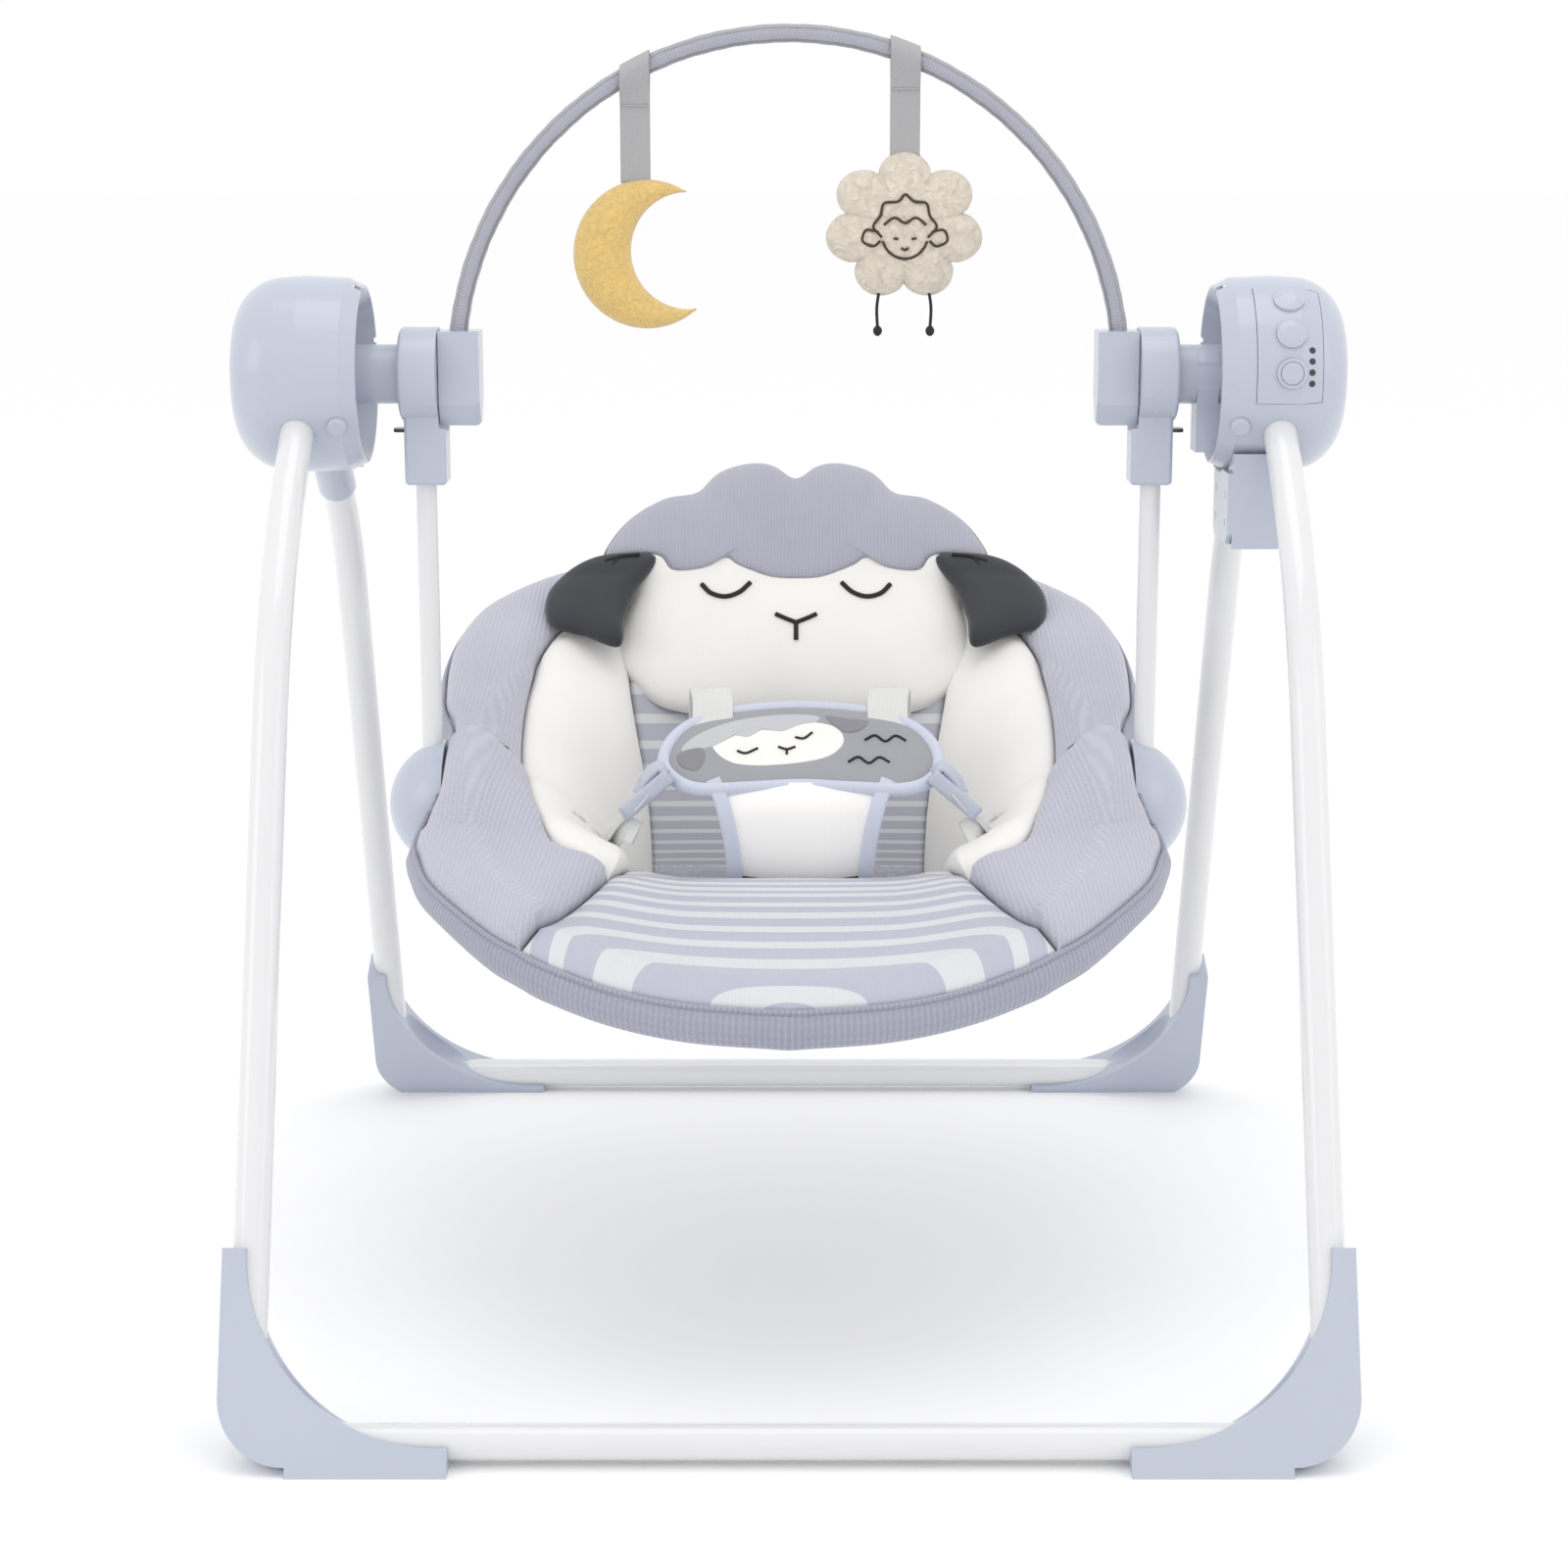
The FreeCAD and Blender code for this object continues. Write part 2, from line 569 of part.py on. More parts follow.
def battery_door():
    """The bevelled cover on the seat side of the box, with its finger slots."""
    x0, x1 = BOX_X0 - 1.0, BOX_X0 + 2.0
    z0, z1 = BOX_Z + 2.5, AXIS_Z - 53
    outline = [(BOX_Y0 + 6, z0), (BOX_Y1 - 6, z0), (BOX_Y1, z0 + 6), (BOX_Y1, z1), (BOX_Y0, z1),
               (BOX_Y0, z0 + 6)]
    door = prism_x(outline, x0, x1)
    for y in (BOX_Y0 + 10, BOX_Y1 - 10):
        for z in (z0 + 9, z0 + 25):
            door = door.cut(box(x0 - 1, x0 + 1.2, y - 1, y + 1, z, z + 5))
    return door.cut(cyl_x(0, CAP_X, 2 * DRUM_R + 2 * FIT))


def batteries():
    cells = []
    for x, z in CELL_ROWS:
        cell = Part.makeCylinder(CELL_D / 2, CELL_L - 1.5, vec(x, CELL_Y0, z), vec(0, 1, 0))
        tip = Part.makeCylinder(2.7, CELL_L, vec(x, CELL_Y0, z), vec(0, 1, 0))
        cells.append(cell.fuse(tip))
    return cells


def battery_contacts():
    plates = []
    for x, z in CELL_ROWS:
        for y in (CELL_Y0 - 1.2, CELL_Y0 + CELL_L):
            plates.append(box(x - 4, x + 4, y, y + 1.2, z - 5, z + 5))
    return plates


# ---- Swing ---------------------------------------------------------------------------
def axle():
    return cyl_x(HUB_X0 + 5, OUTER_BUSH_X + BUSH_L - 0.5, AXLE_D)


def swing_hub(boss_end):
    """The +X hanger: disc, boss round the axle, arm box below and the toy bar's stub."""
    disc = cyl_x(HUB_X0, HUB_X1, HUB_D)
    disc = disc.makeFillet(2.5, [e for e in disc.Edges if e.BoundBox.XMin > HUB_X1 - 0.1])
    boss = cyl_x(HUB_X1 - 1, boss_end, BOSS_D)
    arm_box = box(ARM_BOX_X0, ARM_BOX_X1, -ARM_BOX_Y, ARM_BOX_Y, ARM_BOX_Z0, ARM_BOX_Z1)
    upright = [e for e in arm_box.Edges if e.BoundBox.ZLength > 10]
    low = [e for e in arm_box.Edges if e.BoundBox.ZMax < ARM_BOX_Z0 + 0.1]
    arm_box = arm_box.makeFillet(2.5, upright + low)
    clear_bar = cyl_x(0, HUB_X0, BAR_SWEEP_D)
    hub = disc.fuse(boss).fuse(arm_box.cut(clear_bar))
    hub = hub.fuse(cyl_x(BAR_X0 + 6, HUB_X0 + 1, PIN_D))
    hub = hub.cut(cyl_x(HUB_X0 + 5, boss_end + 1, AXLE_D + 2 * FIT))
    arm_bore = Part.makeCylinder(ARM_D / 2 + FIT, ARM_TOP_Z - ARM_BOX_Z0 + 1, vec(ARM_X, 0, ARM_BOX_Z0 - 1))
    hub = hub.cut(arm_bore)
    return hub.cut(lock_tab(4 * FIT, LOCK_STROKE + 0.2))


BAR_SWEEP_D = 2 * math.hypot(BAR_Y, AXIS_Z - BAR_Z0) + 2.0


def lock_tab(clearance=0.0, extra=0.0):
    """The thin thumb tab that frees the arm: a lens-shaped blade through the arm box."""
    half_w = 6.0 + clearance
    t = 1.0 + clearance
    x0 = ARM_X + ARM_D / 2 + LOCK_STROKE + 0.4 - extra
    blade = box(x0, ARM_BOX_X1 + LOCK_OUT, -half_w, half_w, LOCK_Z - t, LOCK_Z + t)
    if clearance:
        return blade
    ends = [e for e in blade.Edges if e.BoundBox.ZLength > 1 and e.BoundBox.XMin > ARM_BOX_X1]
    return blade.makeFillet(4.0, ends)


def arm():
    """The +X swing arm, from the arm box down into the side hub."""
    start = vec(ARM_X, 0, SEAT_Z + PIVOT_D / 2 + 8)
    outer = rod(start, vec(ARM_X, 0, ARM_TOP_Z), ARM_D)
    return outer.cut(rod(start - vec(0, 0, 1), vec(ARM_X, 0, ARM_TOP_Z + 1), ARM_D - 2.4))


def seat_hub():
    """The +X side hub: a dome that holds the arm's end and the recline pivot."""
    dome = spherical_cap(DOME_X0, DOME_X1, DOME_R, SEAT_Z)
    arm_hole = Part.makeCylinder(ARM_D / 2 + FIT, 2 * DOME_R, vec(ARM_X, 0, SEAT_Z + PIVOT_D / 2 + 8))
    pin_hole = cyl_x(DOME_X0 - 1, DOME_X0 + 15, PIVOT_D + 2 * FIT, 0, SEAT_Z)
    return dome.cut(arm_hole).cut(pin_hole)


def drive_crank():
    """The control side's crank on the axle, which carries the magnet."""
    collar = cyl_x(CRANK_X0, RECESS_X - 1, BOSS_D)
    top = AXIS_Z + BOSS_D / 2 - 3
    z0 = AXIS_Z - CRANK_LOW
    slim, wide = CRANK_HALF, CRANK_HALF + 5
    right_side = [(slim, z0), (slim, AXIS_Z - 20), (wide, AXIS_Z - 8), (wide, AXIS_Z + 8), (slim, top)]
    left_side = [(-y, z) for y, z in reversed(right_side)]
    flare = prism_x(right_side + left_side, CRANK_X0, CRANK_X1)
    body = collar.fuse(flare).cut(cyl_x(CRANK_X0 - 1, RECESS_X, AXLE_D + 2 * FIT))
    return body.cut(magnet_shape(FIT))


def magnet_shape(clearance=0.0):
    z = AXIS_Z - CRANK_LOW + MAGNET_D / 2 + 2
    return cyl_x(CRANK_X1 - MAGNET_T - clearance, CRANK_X1 + clearance, MAGNET_D + 2 * clearance, 0, z)


# ---- Toy bar -------------------------------------------------------------------------
def bar_socket():
    """The +X block at the foot of the toy bar; it turns on the hanger's stub."""
    y, z0, z1 = BAR_Y, BAR_Z0, BAR_Z1
    outline = [(-y, z1), (-y, z0 + 12), (-y + 7, z0), (y - 7, z0), (y, z0 + 12), (y, z1)]
    block = prism_x(outline, BAR_X0, BAR_X1)
    inner = [e for e in block.Edges if e.BoundBox.XMax < BAR_X0 + 0.1 and e.BoundBox.ZMax < z0 + 13]
    block = block.makeFillet(3.0, inner)
    block = block.cut(cyl_x(BAR_X0 + 4, BAR_X1 + 1, PIN_D + 2 * FIT))
    return block.cut(arch_band(FIT))


def arch_band(clearance=0.0):
    """The toy bar: most of half a ring round the swing axis, its feet in the blocks."""
    low = PIN_D / 2 + 11.0 - clearance
    foot_x = math.sqrt(ARCH_R ** 2 - low ** 2)
    start, end = vec(foot_x, 0, AXIS_Z + low), vec(-foot_x, 0, AXIS_Z + low)
    spine = Part.Wire([Part.Arc(start, vec(0, 0, AXIS_Z + ARCH_R), end).toShape()])
    ring = Part.Wire([Part.makeCircle(ARCH_D / 2 + clearance, start, vec(-low, 0, foot_x))])
    return spine.makePipeShell([ring], True, False)


def bar_z(x):
    """Height of the toy bar's middle line over x."""
    return AXIS_Z + math.sqrt(ARCH_R ** 2 - x ** 2)


def strap(x, drop):
    """A ribbon hanging from the bar, looped over it."""
    z = bar_z(x)
    tilt = math.degrees(math.asin(x / ARCH_R))
    loop = rod(vec(x - STRAP_W / 2, 0, z), vec(x + STRAP_W / 2, 0, z), ARCH_D + 2 * STRAP_T + 2.0)
    loop.rotate(vec(x, 0, z), vec(0, 1, 0), tilt)
    loop = loop.cut(arch_band(0.5))
    half_w, half_t, under = STRAP_W / 2, STRAP_T / 2, z - ARCH_D / 2
    tail = box(x - half_w, x + half_w, -half_t, half_t, under - drop, under - 0.5)
    return biggest(tail.fuse(loop).cut(arch_band(0.5)))


def moon():
    """The stuffed crescent: one disc less another, opening towards +X."""
    z = bar_z(MOON_X) - ARCH_D / 2 - MOON_DROP - 42.0
    x = MOON_X + 6.0
    disc = Part.makeCylinder(42, TOY_T, vec(x, -TOY_T / 2, z), vec(0, 1, 0))
    bite = Part.makeCylinder(33, TOY_T + 2, vec(x + 24, -TOY_T / 2 - 1, z + 2), vec(0, 1, 0))
    disc = disc.makeFillet(9, disc.Edges[0:1])
    return disc.cut(bite)


def sheep():
    """The stuffed flower-shaped sheep: a disc with petals all round."""
    z = bar_z(SHEEP_X) - ARCH_D / 2 - SHEEP_DROP - 41.3
    shape = Part.makeCylinder(30, TOY_T, vec(SHEEP_X, -TOY_T / 2, z), vec(0, 1, 0))
    for i in range(PETALS):
        a = 2 * math.pi * i / PETALS + math.pi / 2
        middle = vec(SHEEP_X + 32 * math.cos(a), -TOY_T / 2 + 3, z + 28 * math.sin(a))
        petal = Part.makeCylinder(13, TOY_T - 6, middle, vec(0, 1, 0))
        shape = shape.fuse(petal)
    return shape



# ---- Seat frame ----------------------------------------------------------------------
def seat_tube(side, clearance=0.0):
    """One U of the seat frame: side -1 runs round the front, 1 round the back."""
    slope = -FRONT_SLOPE if side < 0 else BACK_SLOPE
    corners, bends = (FRONT_CORNERS, FRONT_BENDS) if side < 0 else (BACK_CORNERS, BACK_BENDS)
    points = [vec(x, side * y, SEAT_Z + slope * y) for x, y in corners]
    points += [vec(-p.x, p.y, p.z) for p in reversed(points)]
    return sweep(points, list(bends) + list(reversed(bends)), SEAT_TUBE_D + 2 * clearance)


def seat_frame(side):
    wall = 1.0
    return seat_tube(side).cut(seat_tube(side, -wall))


def seat_pivots():
    """The two discs that join the seat tubes, with the stubs that turn in the side hubs."""
    disc = cyl_x(DISC_X0, DOME_X0 - GAP, DISC_D, 0, SEAT_Z)
    stub = cyl_x(DISC_X0, DOME_X0 + 13, PIVOT_D, 0, SEAT_Z)
    one = disc.fuse(stub)
    pair = [one, mirror(one)]
    tubes = [seat_tube(-1, FIT), seat_tube(1, FIT)]
    return [p.cut(tubes[0]).cut(tubes[1]) for p in pair]


# ---- Soft parts ----------------------------------------------------------------------
def ease(t):
    """A smooth step from 0 to 1."""
    t = max(0.0, min(1.0, t))
    return t * t * (3 - 2 * t)


def rim_z(y):
    """Height of the seat's rim: two slopes that meet smoothly over the pivots."""
    middle = (FRONT_SLOPE + BACK_SLOPE) / 2
    bend = (BACK_SLOPE - FRONT_SLOPE) / 2
    return SEAT_Z + middle * y + bend * (math.hypot(y, 40.0) - 40.0)


def middle_z(y):
    """Height of the padding along the middle: thigh ramp, hip well, backrest."""
    ramp = HUMP_Z + 0.187 * (y - HUMP_Y)
    fall = ease((y - HUMP_Y + 8) / 45.0)
    well = ramp * (1 - fall) + WELL_Z * fall
    rest = BACKREST_Z + BACKREST_SLOPE * (y - BACKREST_Y)
    return 0.5 * (well + rest + math.hypot(well - rest, 24.0)) if y > 0 else well


def seat_point(r, a, drop):
    """A point of the seat's inside: r from the middle to the rim, a round it, then down."""
    x = r * SLING_X * math.copysign(abs(math.cos(a)) ** 0.9, math.cos(a))
    far = SLING_BACK if math.sin(a) > 0 else SLING_FRONT
    y = r * far * math.copysign(abs(math.sin(a)) ** 0.9, math.sin(a))
    side = 0.8 * ease((abs(x) - 55.0) / 110.0)
    rise = 1 - (1 - r ** 4) * (1 - side)
    z = middle_z(y) * (1 - rise) + rim_z(y) * rise
    return vec(x, y, z - drop(r))


def closed_skin(upper, lower, rings=6, around=28, edge=1.0):
    """A closed solid between two dished surfaces that meet along an upright rim."""
    def grid(surface):
        middle = surface(0.0, 0.0)
        rows = [[surface(edge * i / rings, 2 * math.pi * j / around) for j in range(around)]
                for i in range(1, rings + 1)]
        return middle, rows

    faces = []

    def add(*corners):
        faces.append(Part.Face(Part.makePolygon(list(corners) + [corners[0]])))

    top, bottom = grid(upper), grid(lower)
    for middle, rows in (top, bottom):
        for j in range(around):
            k = (j + 1) % around
            add(middle, rows[0][j], rows[0][k])
            for inner, outer in zip(rows, rows[1:]):
                add(inner[j], outer[j], outer[k])
                add(inner[j], outer[k], inner[k])
    for j in range(around):
        k = (j + 1) % around
        add(top[1][-1][j], bottom[1][-1][j], bottom[1][-1][k])
        add(top[1][-1][j], bottom[1][-1][k], top[1][-1][k])
    shell = Part.makeShell(faces)
    shell.sewShape()
    solid = Part.Solid(shell)
    if solid.Volume < 0:
        solid.reverse()
    return solid


def pad_drop(r):
    return 4.0 + 3.0 + PAD_T * (1 - r ** 6)


def seat_pad():
    """The padded insert with the thigh ramp, hip well and backrest."""
    return closed_skin(lambda r, a: seat_point(r, a, lambda _: 4.0),
                       lambda r, a: seat_point(r, a, pad_drop))


def seat_sling():
    """The fabric seat that the padding lies in, hung inside the seat tubes."""
    return closed_skin(lambda r, a: seat_point(r, a, lambda q: pad_drop(q) + GAP + 0.4),
                       lambda r, a: seat_point(r, a, lambda q: pad_drop(q) + GAP + SKIN_T))


def lens(middle, half, lean, turn=0.0):
    """A cushion: an oval lens, leaning back by degrees from upright."""
    def side(sign):
        def surface(r, a):
            return vec(half[0] * r * math.cos(a), sign * half[2] * math.sqrt(max(0.0, 1 - r * r * 0.98)),
                       half[1] * r * math.sin(a))
        return surface

    solid = closed_skin(side(-1), side(1), rings=4, around=20)
    solid.rotate(vec(0, 0, 0), vec(0, 1, 0), turn)
    solid.rotate(vec(0, 0, 0), vec(1, 0, 0), -lean)
    solid.translate(vec(*middle))
    return solid


PILLOW_LEAN = 39.0


def head_pillow():
    """The head pillow and its two ears, which lie over its edges."""
    x, y, z = PILLOW
    pillow = lens(PILLOW, PILLOW_HALF, PILLOW_LEAN)
    a = math.radians(PILLOW_LEAN)
    ears = []
    for s in (-1, 1):
        middle = (x + s * 116.0, y - 2 * math.cos(a) - 4, z - 2.0 + 8)
        ears.append(lens(middle, EAR_HALF, PILLOW_LEAN, s * 12).cut(pillow))
    return [pillow] + [biggest(e) for e in ears]


def belly_plate():
    """The bean-shaped plate over the child's belly."""
    rows = [((-60, 30), (0, 40), (60, 30)), ((60, 30), (80, 2), (55, -31)),
            ((55, -31), (0, -25), (-55, -31)), ((-55, -31), (-80, 2), (-60, 30))]
    edges = [Part.Arc(*[vec(x, 0, z) for x, z in row]).toShape() for row in rows]
    plate = Part.Face(Part.Wire(edges)).extrude(vec(0, PLATE_T, 0))
    plate.translate(vec(0, -PLATE_T / 2, 0))
    plate.rotate(vec(0, 0, 0), vec(1, 0, 0), -(90 - HARNESS_LEAN))
    plate.translate(vec(*PLATE))
    return plate


def crotch_strap():
    """The wide panel between the legs, from the seat's well up to the belly plate."""
    x, y, z = PLATE
    top_y, top_z = y - 31.0, z - 23.0
    low_y, low_z = HUMP_Y + 24, WELL_Z + 24
    half_top, half_low, t = 49.0, 38.0, 4.0
    outline = [vec(x - half_top, top_y, top_z), vec(x + half_top, top_y, top_z),
               vec(x + half_low, low_y, low_z), vec(x - half_low, low_y, low_z)]
    return loft_outline(outline, vec(0, 0, 0), vec(0, -t, 0))


def waist_straps():
    """The two folded waist straps, from the side padding up to the clips."""
    straps = []
    for s in (-1, 1):
        x = PLATE[0]
        outline = [vec(x + s * 97, -28, 276), vec(x + s * 97, -10, 276), vec(x + s * 118, 6, 251),
                   vec(x + s * 118, -12, 251)]
        straps.append(loft_outline(outline, vec(0, 0, 0), vec(-s * 3, 0, -4)))
    return straps


def harness_clips():
    """The two side clips under the ends of the belly plate."""
    clips = []
    for s in (-1, 1):
        middle = PLATE[0] + s * 84.0
        clip = box(middle - 12, middle + 12, -36, -27, 272, 291)
        clips.append(clip.makeFillet(2.0, clip.Edges))
    return clips


# ---- Every piece, by name ------------------------------------------------------------
def pieces():
    """All nodes: name to a list of solids, in the place that they have on the swing."""
    made = {}
    for name, side in (("front", -1), ("rear", 1)):
        made[name + "_floor_tube"] = [floor_tube(side)]
        shoe = foot(side)
        leg = upper_leg(side) if side < 0 else rear_leg()
        for hand, copy in (("right", lambda s: s), ("left", mirror)):
            made[f"{hand}_{name}_foot"] = [copy(shoe)]
            made[f"{hand}_{name}_leg"] = [copy(leg)]
    made["leg_sockets"] = both([leg_socket()])

    control_inner, control_outer = housing_halves(True)
    plain_inner, plain_outer = housing_halves(False)
    made["right_housing_inner"], made["right_housing_outer"] = [control_inner], [control_outer]
    made["left_housing_inner"], made["left_housing_outer"] = [mirror(plain_inner)], [mirror(plain_outer)]
    made["swing_bearings"] = both(bushes())
    made["fold_pins"] = both([fold_pin()])
    made["housing_screws"] = both(housing_screws())
    made["control_panel"] = [control_panel()]
    made["indicator_lights"] = lights()
    made["circuit_board"] = [circuit_board()]
    made["speaker"] = [speaker()]
    made["drive_coil"] = [drive_coil()]
    made["battery_box"] = [battery_box()]
    made["battery_door"] = [battery_door()]
    made["batteries"] = batteries()
    made["battery_contacts"] = battery_contacts()
    for name, angle in KEYS:
        made[name] = [key(name, angle)]

    made["axles"] = both([axle()])
    made["drive_crank"] = [drive_crank()]
    made["drive_magnet"] = [magnet_shape()]
    for hand, copy, boss_end in (("right", lambda s: s, CRANK_X0), ("left", mirror, RECESS_X - 2)):
        made[hand + "_fold_button"] = [copy(release_button())]
        made[hand + "_swing_hub"] = [copy(swing_hub(boss_end))]
        made[hand + "_swing_arm"] = [copy(arm())]
        made[hand + "_arm_button"] = [copy(lock_tab())]
        made[hand + "_seat_hub"] = [copy(seat_hub())]
        made[hand + "_toy_bar_socket"] = [copy(bar_socket())]
    made["toy_bar_arch"] = [arch_band()]
    made["moon_toy"] = [moon()]
    made["moon_strap"] = [strap(MOON_X, MOON_DROP)]
    made["sheep_toy"] = [sheep()]
    made["sheep_strap"] = [strap(SHEEP_X, SHEEP_DROP)]

    made["seat_front_tube"] = [seat_frame(-1)]
    made["seat_back_tube"] = [seat_frame(1)]
    made["seat_pivots"] = seat_pivots()
    made["seat_sling"] = [seat_sling()]
    made["seat_pad"] = [seat_pad()]
    made["head_pillow"] = head_pillow()
    made["belly_plate"] = [belly_plate()]
    made["crotch_strap"] = [crotch_strap()]
    made["waist_straps"] = waist_straps()
    made["harness_clips"] = harness_clips()
    return made


def both(solids):
    """The +X side's solids and their mirror copies."""
    return solids + [mirror(s) for s in solids]


def main():
    os.makedirs("parts", exist_ok=True)
    made = pieces()
    for name, solids in made.items():
        shape = solids[0] if len(solids) == 1 else Part.makeCompound(solids)
        shape.exportStep(f"parts/{name}.step")
    print(len(made), "nodes")


main()
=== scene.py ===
# %% [markdown]
# # A baby swing, dressed for the camera
# The frame, housings, arms and buttons arrive as finished solids. What is left to make by
# hand is everything soft, and every finish. All lengths are metres; `MM` turns the
# millimetres that a maker thinks in into metres.

# %% Load the frame
import math

import bmesh
import bpy
import numpy as np
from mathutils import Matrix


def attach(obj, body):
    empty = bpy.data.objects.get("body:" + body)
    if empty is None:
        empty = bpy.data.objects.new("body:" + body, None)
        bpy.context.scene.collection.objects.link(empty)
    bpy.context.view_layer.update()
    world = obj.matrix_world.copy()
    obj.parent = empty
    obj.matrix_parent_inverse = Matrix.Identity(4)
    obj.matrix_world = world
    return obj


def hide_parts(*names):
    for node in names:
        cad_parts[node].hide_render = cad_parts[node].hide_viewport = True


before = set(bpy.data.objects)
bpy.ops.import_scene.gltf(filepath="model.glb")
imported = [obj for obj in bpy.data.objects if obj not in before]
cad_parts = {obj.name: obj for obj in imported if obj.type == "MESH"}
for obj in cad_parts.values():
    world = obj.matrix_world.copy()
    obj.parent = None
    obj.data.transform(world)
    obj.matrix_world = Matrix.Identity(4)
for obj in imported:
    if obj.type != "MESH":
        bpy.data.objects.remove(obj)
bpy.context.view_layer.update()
MM = 0.001

# %% [markdown]
# ## Camera, floor and light
# A swing is shown from the front, from a little above the seat, with a long lens so that the
# frame stays square. The floor is pale, and the light comes from one large soft box overhead
# with weaker ones at the sides, because gloss plastic and enamel need something wide to mirror.
# A picture of a real room could light it instead, but plain lights keep the finishes easy to
# judge.

# %% Camera
EYE = (-2.6, -1787.3, 660.5)
LOOK_DOWN = 11.78                    # degrees below level
scene = bpy.context.scene
lens = bpy.data.cameras.new("front_camera")
lens.lens = 70.8
lens.sensor_width = 36.0
camera = bpy.data.objects.new("front_camera", lens)
camera.location = [c * MM for c in EYE]
camera.rotation_euler = (math.radians(90 - LOOK_DOWN), 0, 0)
scene.collection.objects.link(camera)
scene.camera = camera
scene.view_settings.view_transform = "Standard"
print("camera at", tuple(round(c, 3) for c in camera.location))

# %% [markdown]
# The floor is one large square, so that its far edge is never seen. It is almost as pale as
# the sky behind it, which hides the horizon.


# %% Floor and lights
def soft_box(name, place, aim, size, watts):
    """A square area light at a place, turned to face a point."""
    data = bpy.data.lights.new(name, "AREA")
    data.size = size
    data.energy = watts
    lamp = bpy.data.objects.new(name, data)
    lamp.location = place
    to = np.array(aim) - np.array(place)
    flat = math.hypot(to[0], to[1])
    lamp.rotation_euler = (math.atan2(flat, -to[2]), 0, math.atan2(to[1], to[0]) - math.pi / 2)
    scene.collection.objects.link(lamp)


floor_mesh = bpy.data.meshes.new("floor")
floor_mesh.from_pydata([(-40, -40, 0), (40, -40, 0), (40, 40, 0), (-40, 40, 0)], [], [(0, 1, 2, 3)])
floor = bpy.data.objects.new("floor", floor_mesh)
scene.collection.objects.link(floor)
floor_paint = bpy.data.materials.new("pale_floor")
floor_paint.use_nodes = True
floor_shader = floor_paint.node_tree.nodes["Principled BSDF"]
floor_shader.inputs["Base Color"].default_value = (0.97, 0.97, 0.97, 1)
floor_shader.inputs["Roughness"].default_value = 0.9
floor_mesh.materials.append(floor_paint)
soft_box("overhead", (0.1, -0.3, 2.6), (0, 0, 0.2), 1.6, 9)
soft_box("left_side", (-2.2, -1.2, 1.3), (0, 0, 0.4), 1.2, 5)
soft_box("right_side", (2.2, -1.0, 1.2), (0, 0, 0.4), 1.2, 3)
world = bpy.data.worlds.new("studio")
world.use_nodes = True
sky = world.node_tree.nodes["Background"]
sky.inputs["Color"].default_value = (1, 1, 1, 1)
sky.inputs["Strength"].default_value = 1.02
scene.world = world

# %% [markdown]
# ## Finishes
# Each finish is one Principled shader. What changes over a surface comes from small node
# groups: `grain` for moulded and sprayed surfaces, `knit` for cloth with ribs, `pile` for
# terry and fleece. A group only gives out masks and heights, so every material can set its
# own colour, gloss and depth. Cloth reads its own UV map, which is laid out in metres, so a
# rib is the same width on every panel.


# %% Node helpers
def group(name, inputs, outputs):
    """A shader node group with named float inputs (name, default) and outputs."""
    tree = bpy.data.node_groups.new(name, "ShaderNodeTree")
    vector_in = tree.interface.new_socket("Vector", in_out="INPUT", socket_type="NodeSocketVector")
    vector_in.hide_value = True
    for label, value in inputs:
        socket = tree.interface.new_socket(label, in_out="INPUT", socket_type="NodeSocketFloat")
        socket.default_value = value
    for label in outputs:
        tree.interface.new_socket(label, in_out="OUTPUT", socket_type="NodeSocketFloat")
    return tree, tree.nodes.new("NodeGroupInput"), tree.nodes.new("NodeGroupOutput")


def node(tree, kind, **settings):
    """A node of a kind; settings are properties, or inputs when the name is an input."""
    made = tree.nodes.new("ShaderNode" + kind)
    for key, value in settings.items():
        if hasattr(made, key):
            setattr(made, key, value)
        else:
            made.inputs[key.replace("_", " ")].default_value = value
    return made


def math_node(tree, operation, a, b=None, clamp=False):
    """Arithmetic on sockets or numbers; gives the output socket."""
    made = tree.nodes.new("ShaderNodeMath")
    made.operation = operation
    made.use_clamp = clamp
    for place, value in enumerate((a, b)):
        if value is None:
            continue
        if isinstance(value, (int, float)):
            made.inputs[place].default_value = value
        else:
            tree.links.new(value, made.inputs[place])
    return made.outputs[0]


def use(tree, node_group, vector, **values):
    """A node group fed with a vector, its other inputs set by name."""
    made = tree.nodes.new("ShaderNodeGroup")
    made.node_tree = node_group
    for label, value in values.items():
        made.inputs[label].default_value = value
    tree.links.new(vector, made.inputs["Vector"])
    return made


def blend(tree, a, b, mask, mode="MIX"):
    """A colour that is a where the mask is 0 and b where it is 1; each is a colour or a socket."""
    made = tree.nodes.new("ShaderNodeMix")
    made.data_type = "RGBA"
    made.blend_type = mode
    for label, value in (("A", a), ("B", b)):
        if isinstance(value, tuple):
            made.inputs[label].default_value = (*value, 1)
        else:
            tree.links.new(value, made.inputs[label])
    tree.links.new(mask, made.inputs["Factor"])
    return made.outputs["Result"]


print("node helpers ready")

# %% [markdown]
# Moulded plastic and sprayed enamel have two scales of change: a fine texture that a mould or a
# spray gun leaves, and a slow one, in the gloss and the tone. An image could carry both, but
# noise needs no file, has no seams and never repeats.


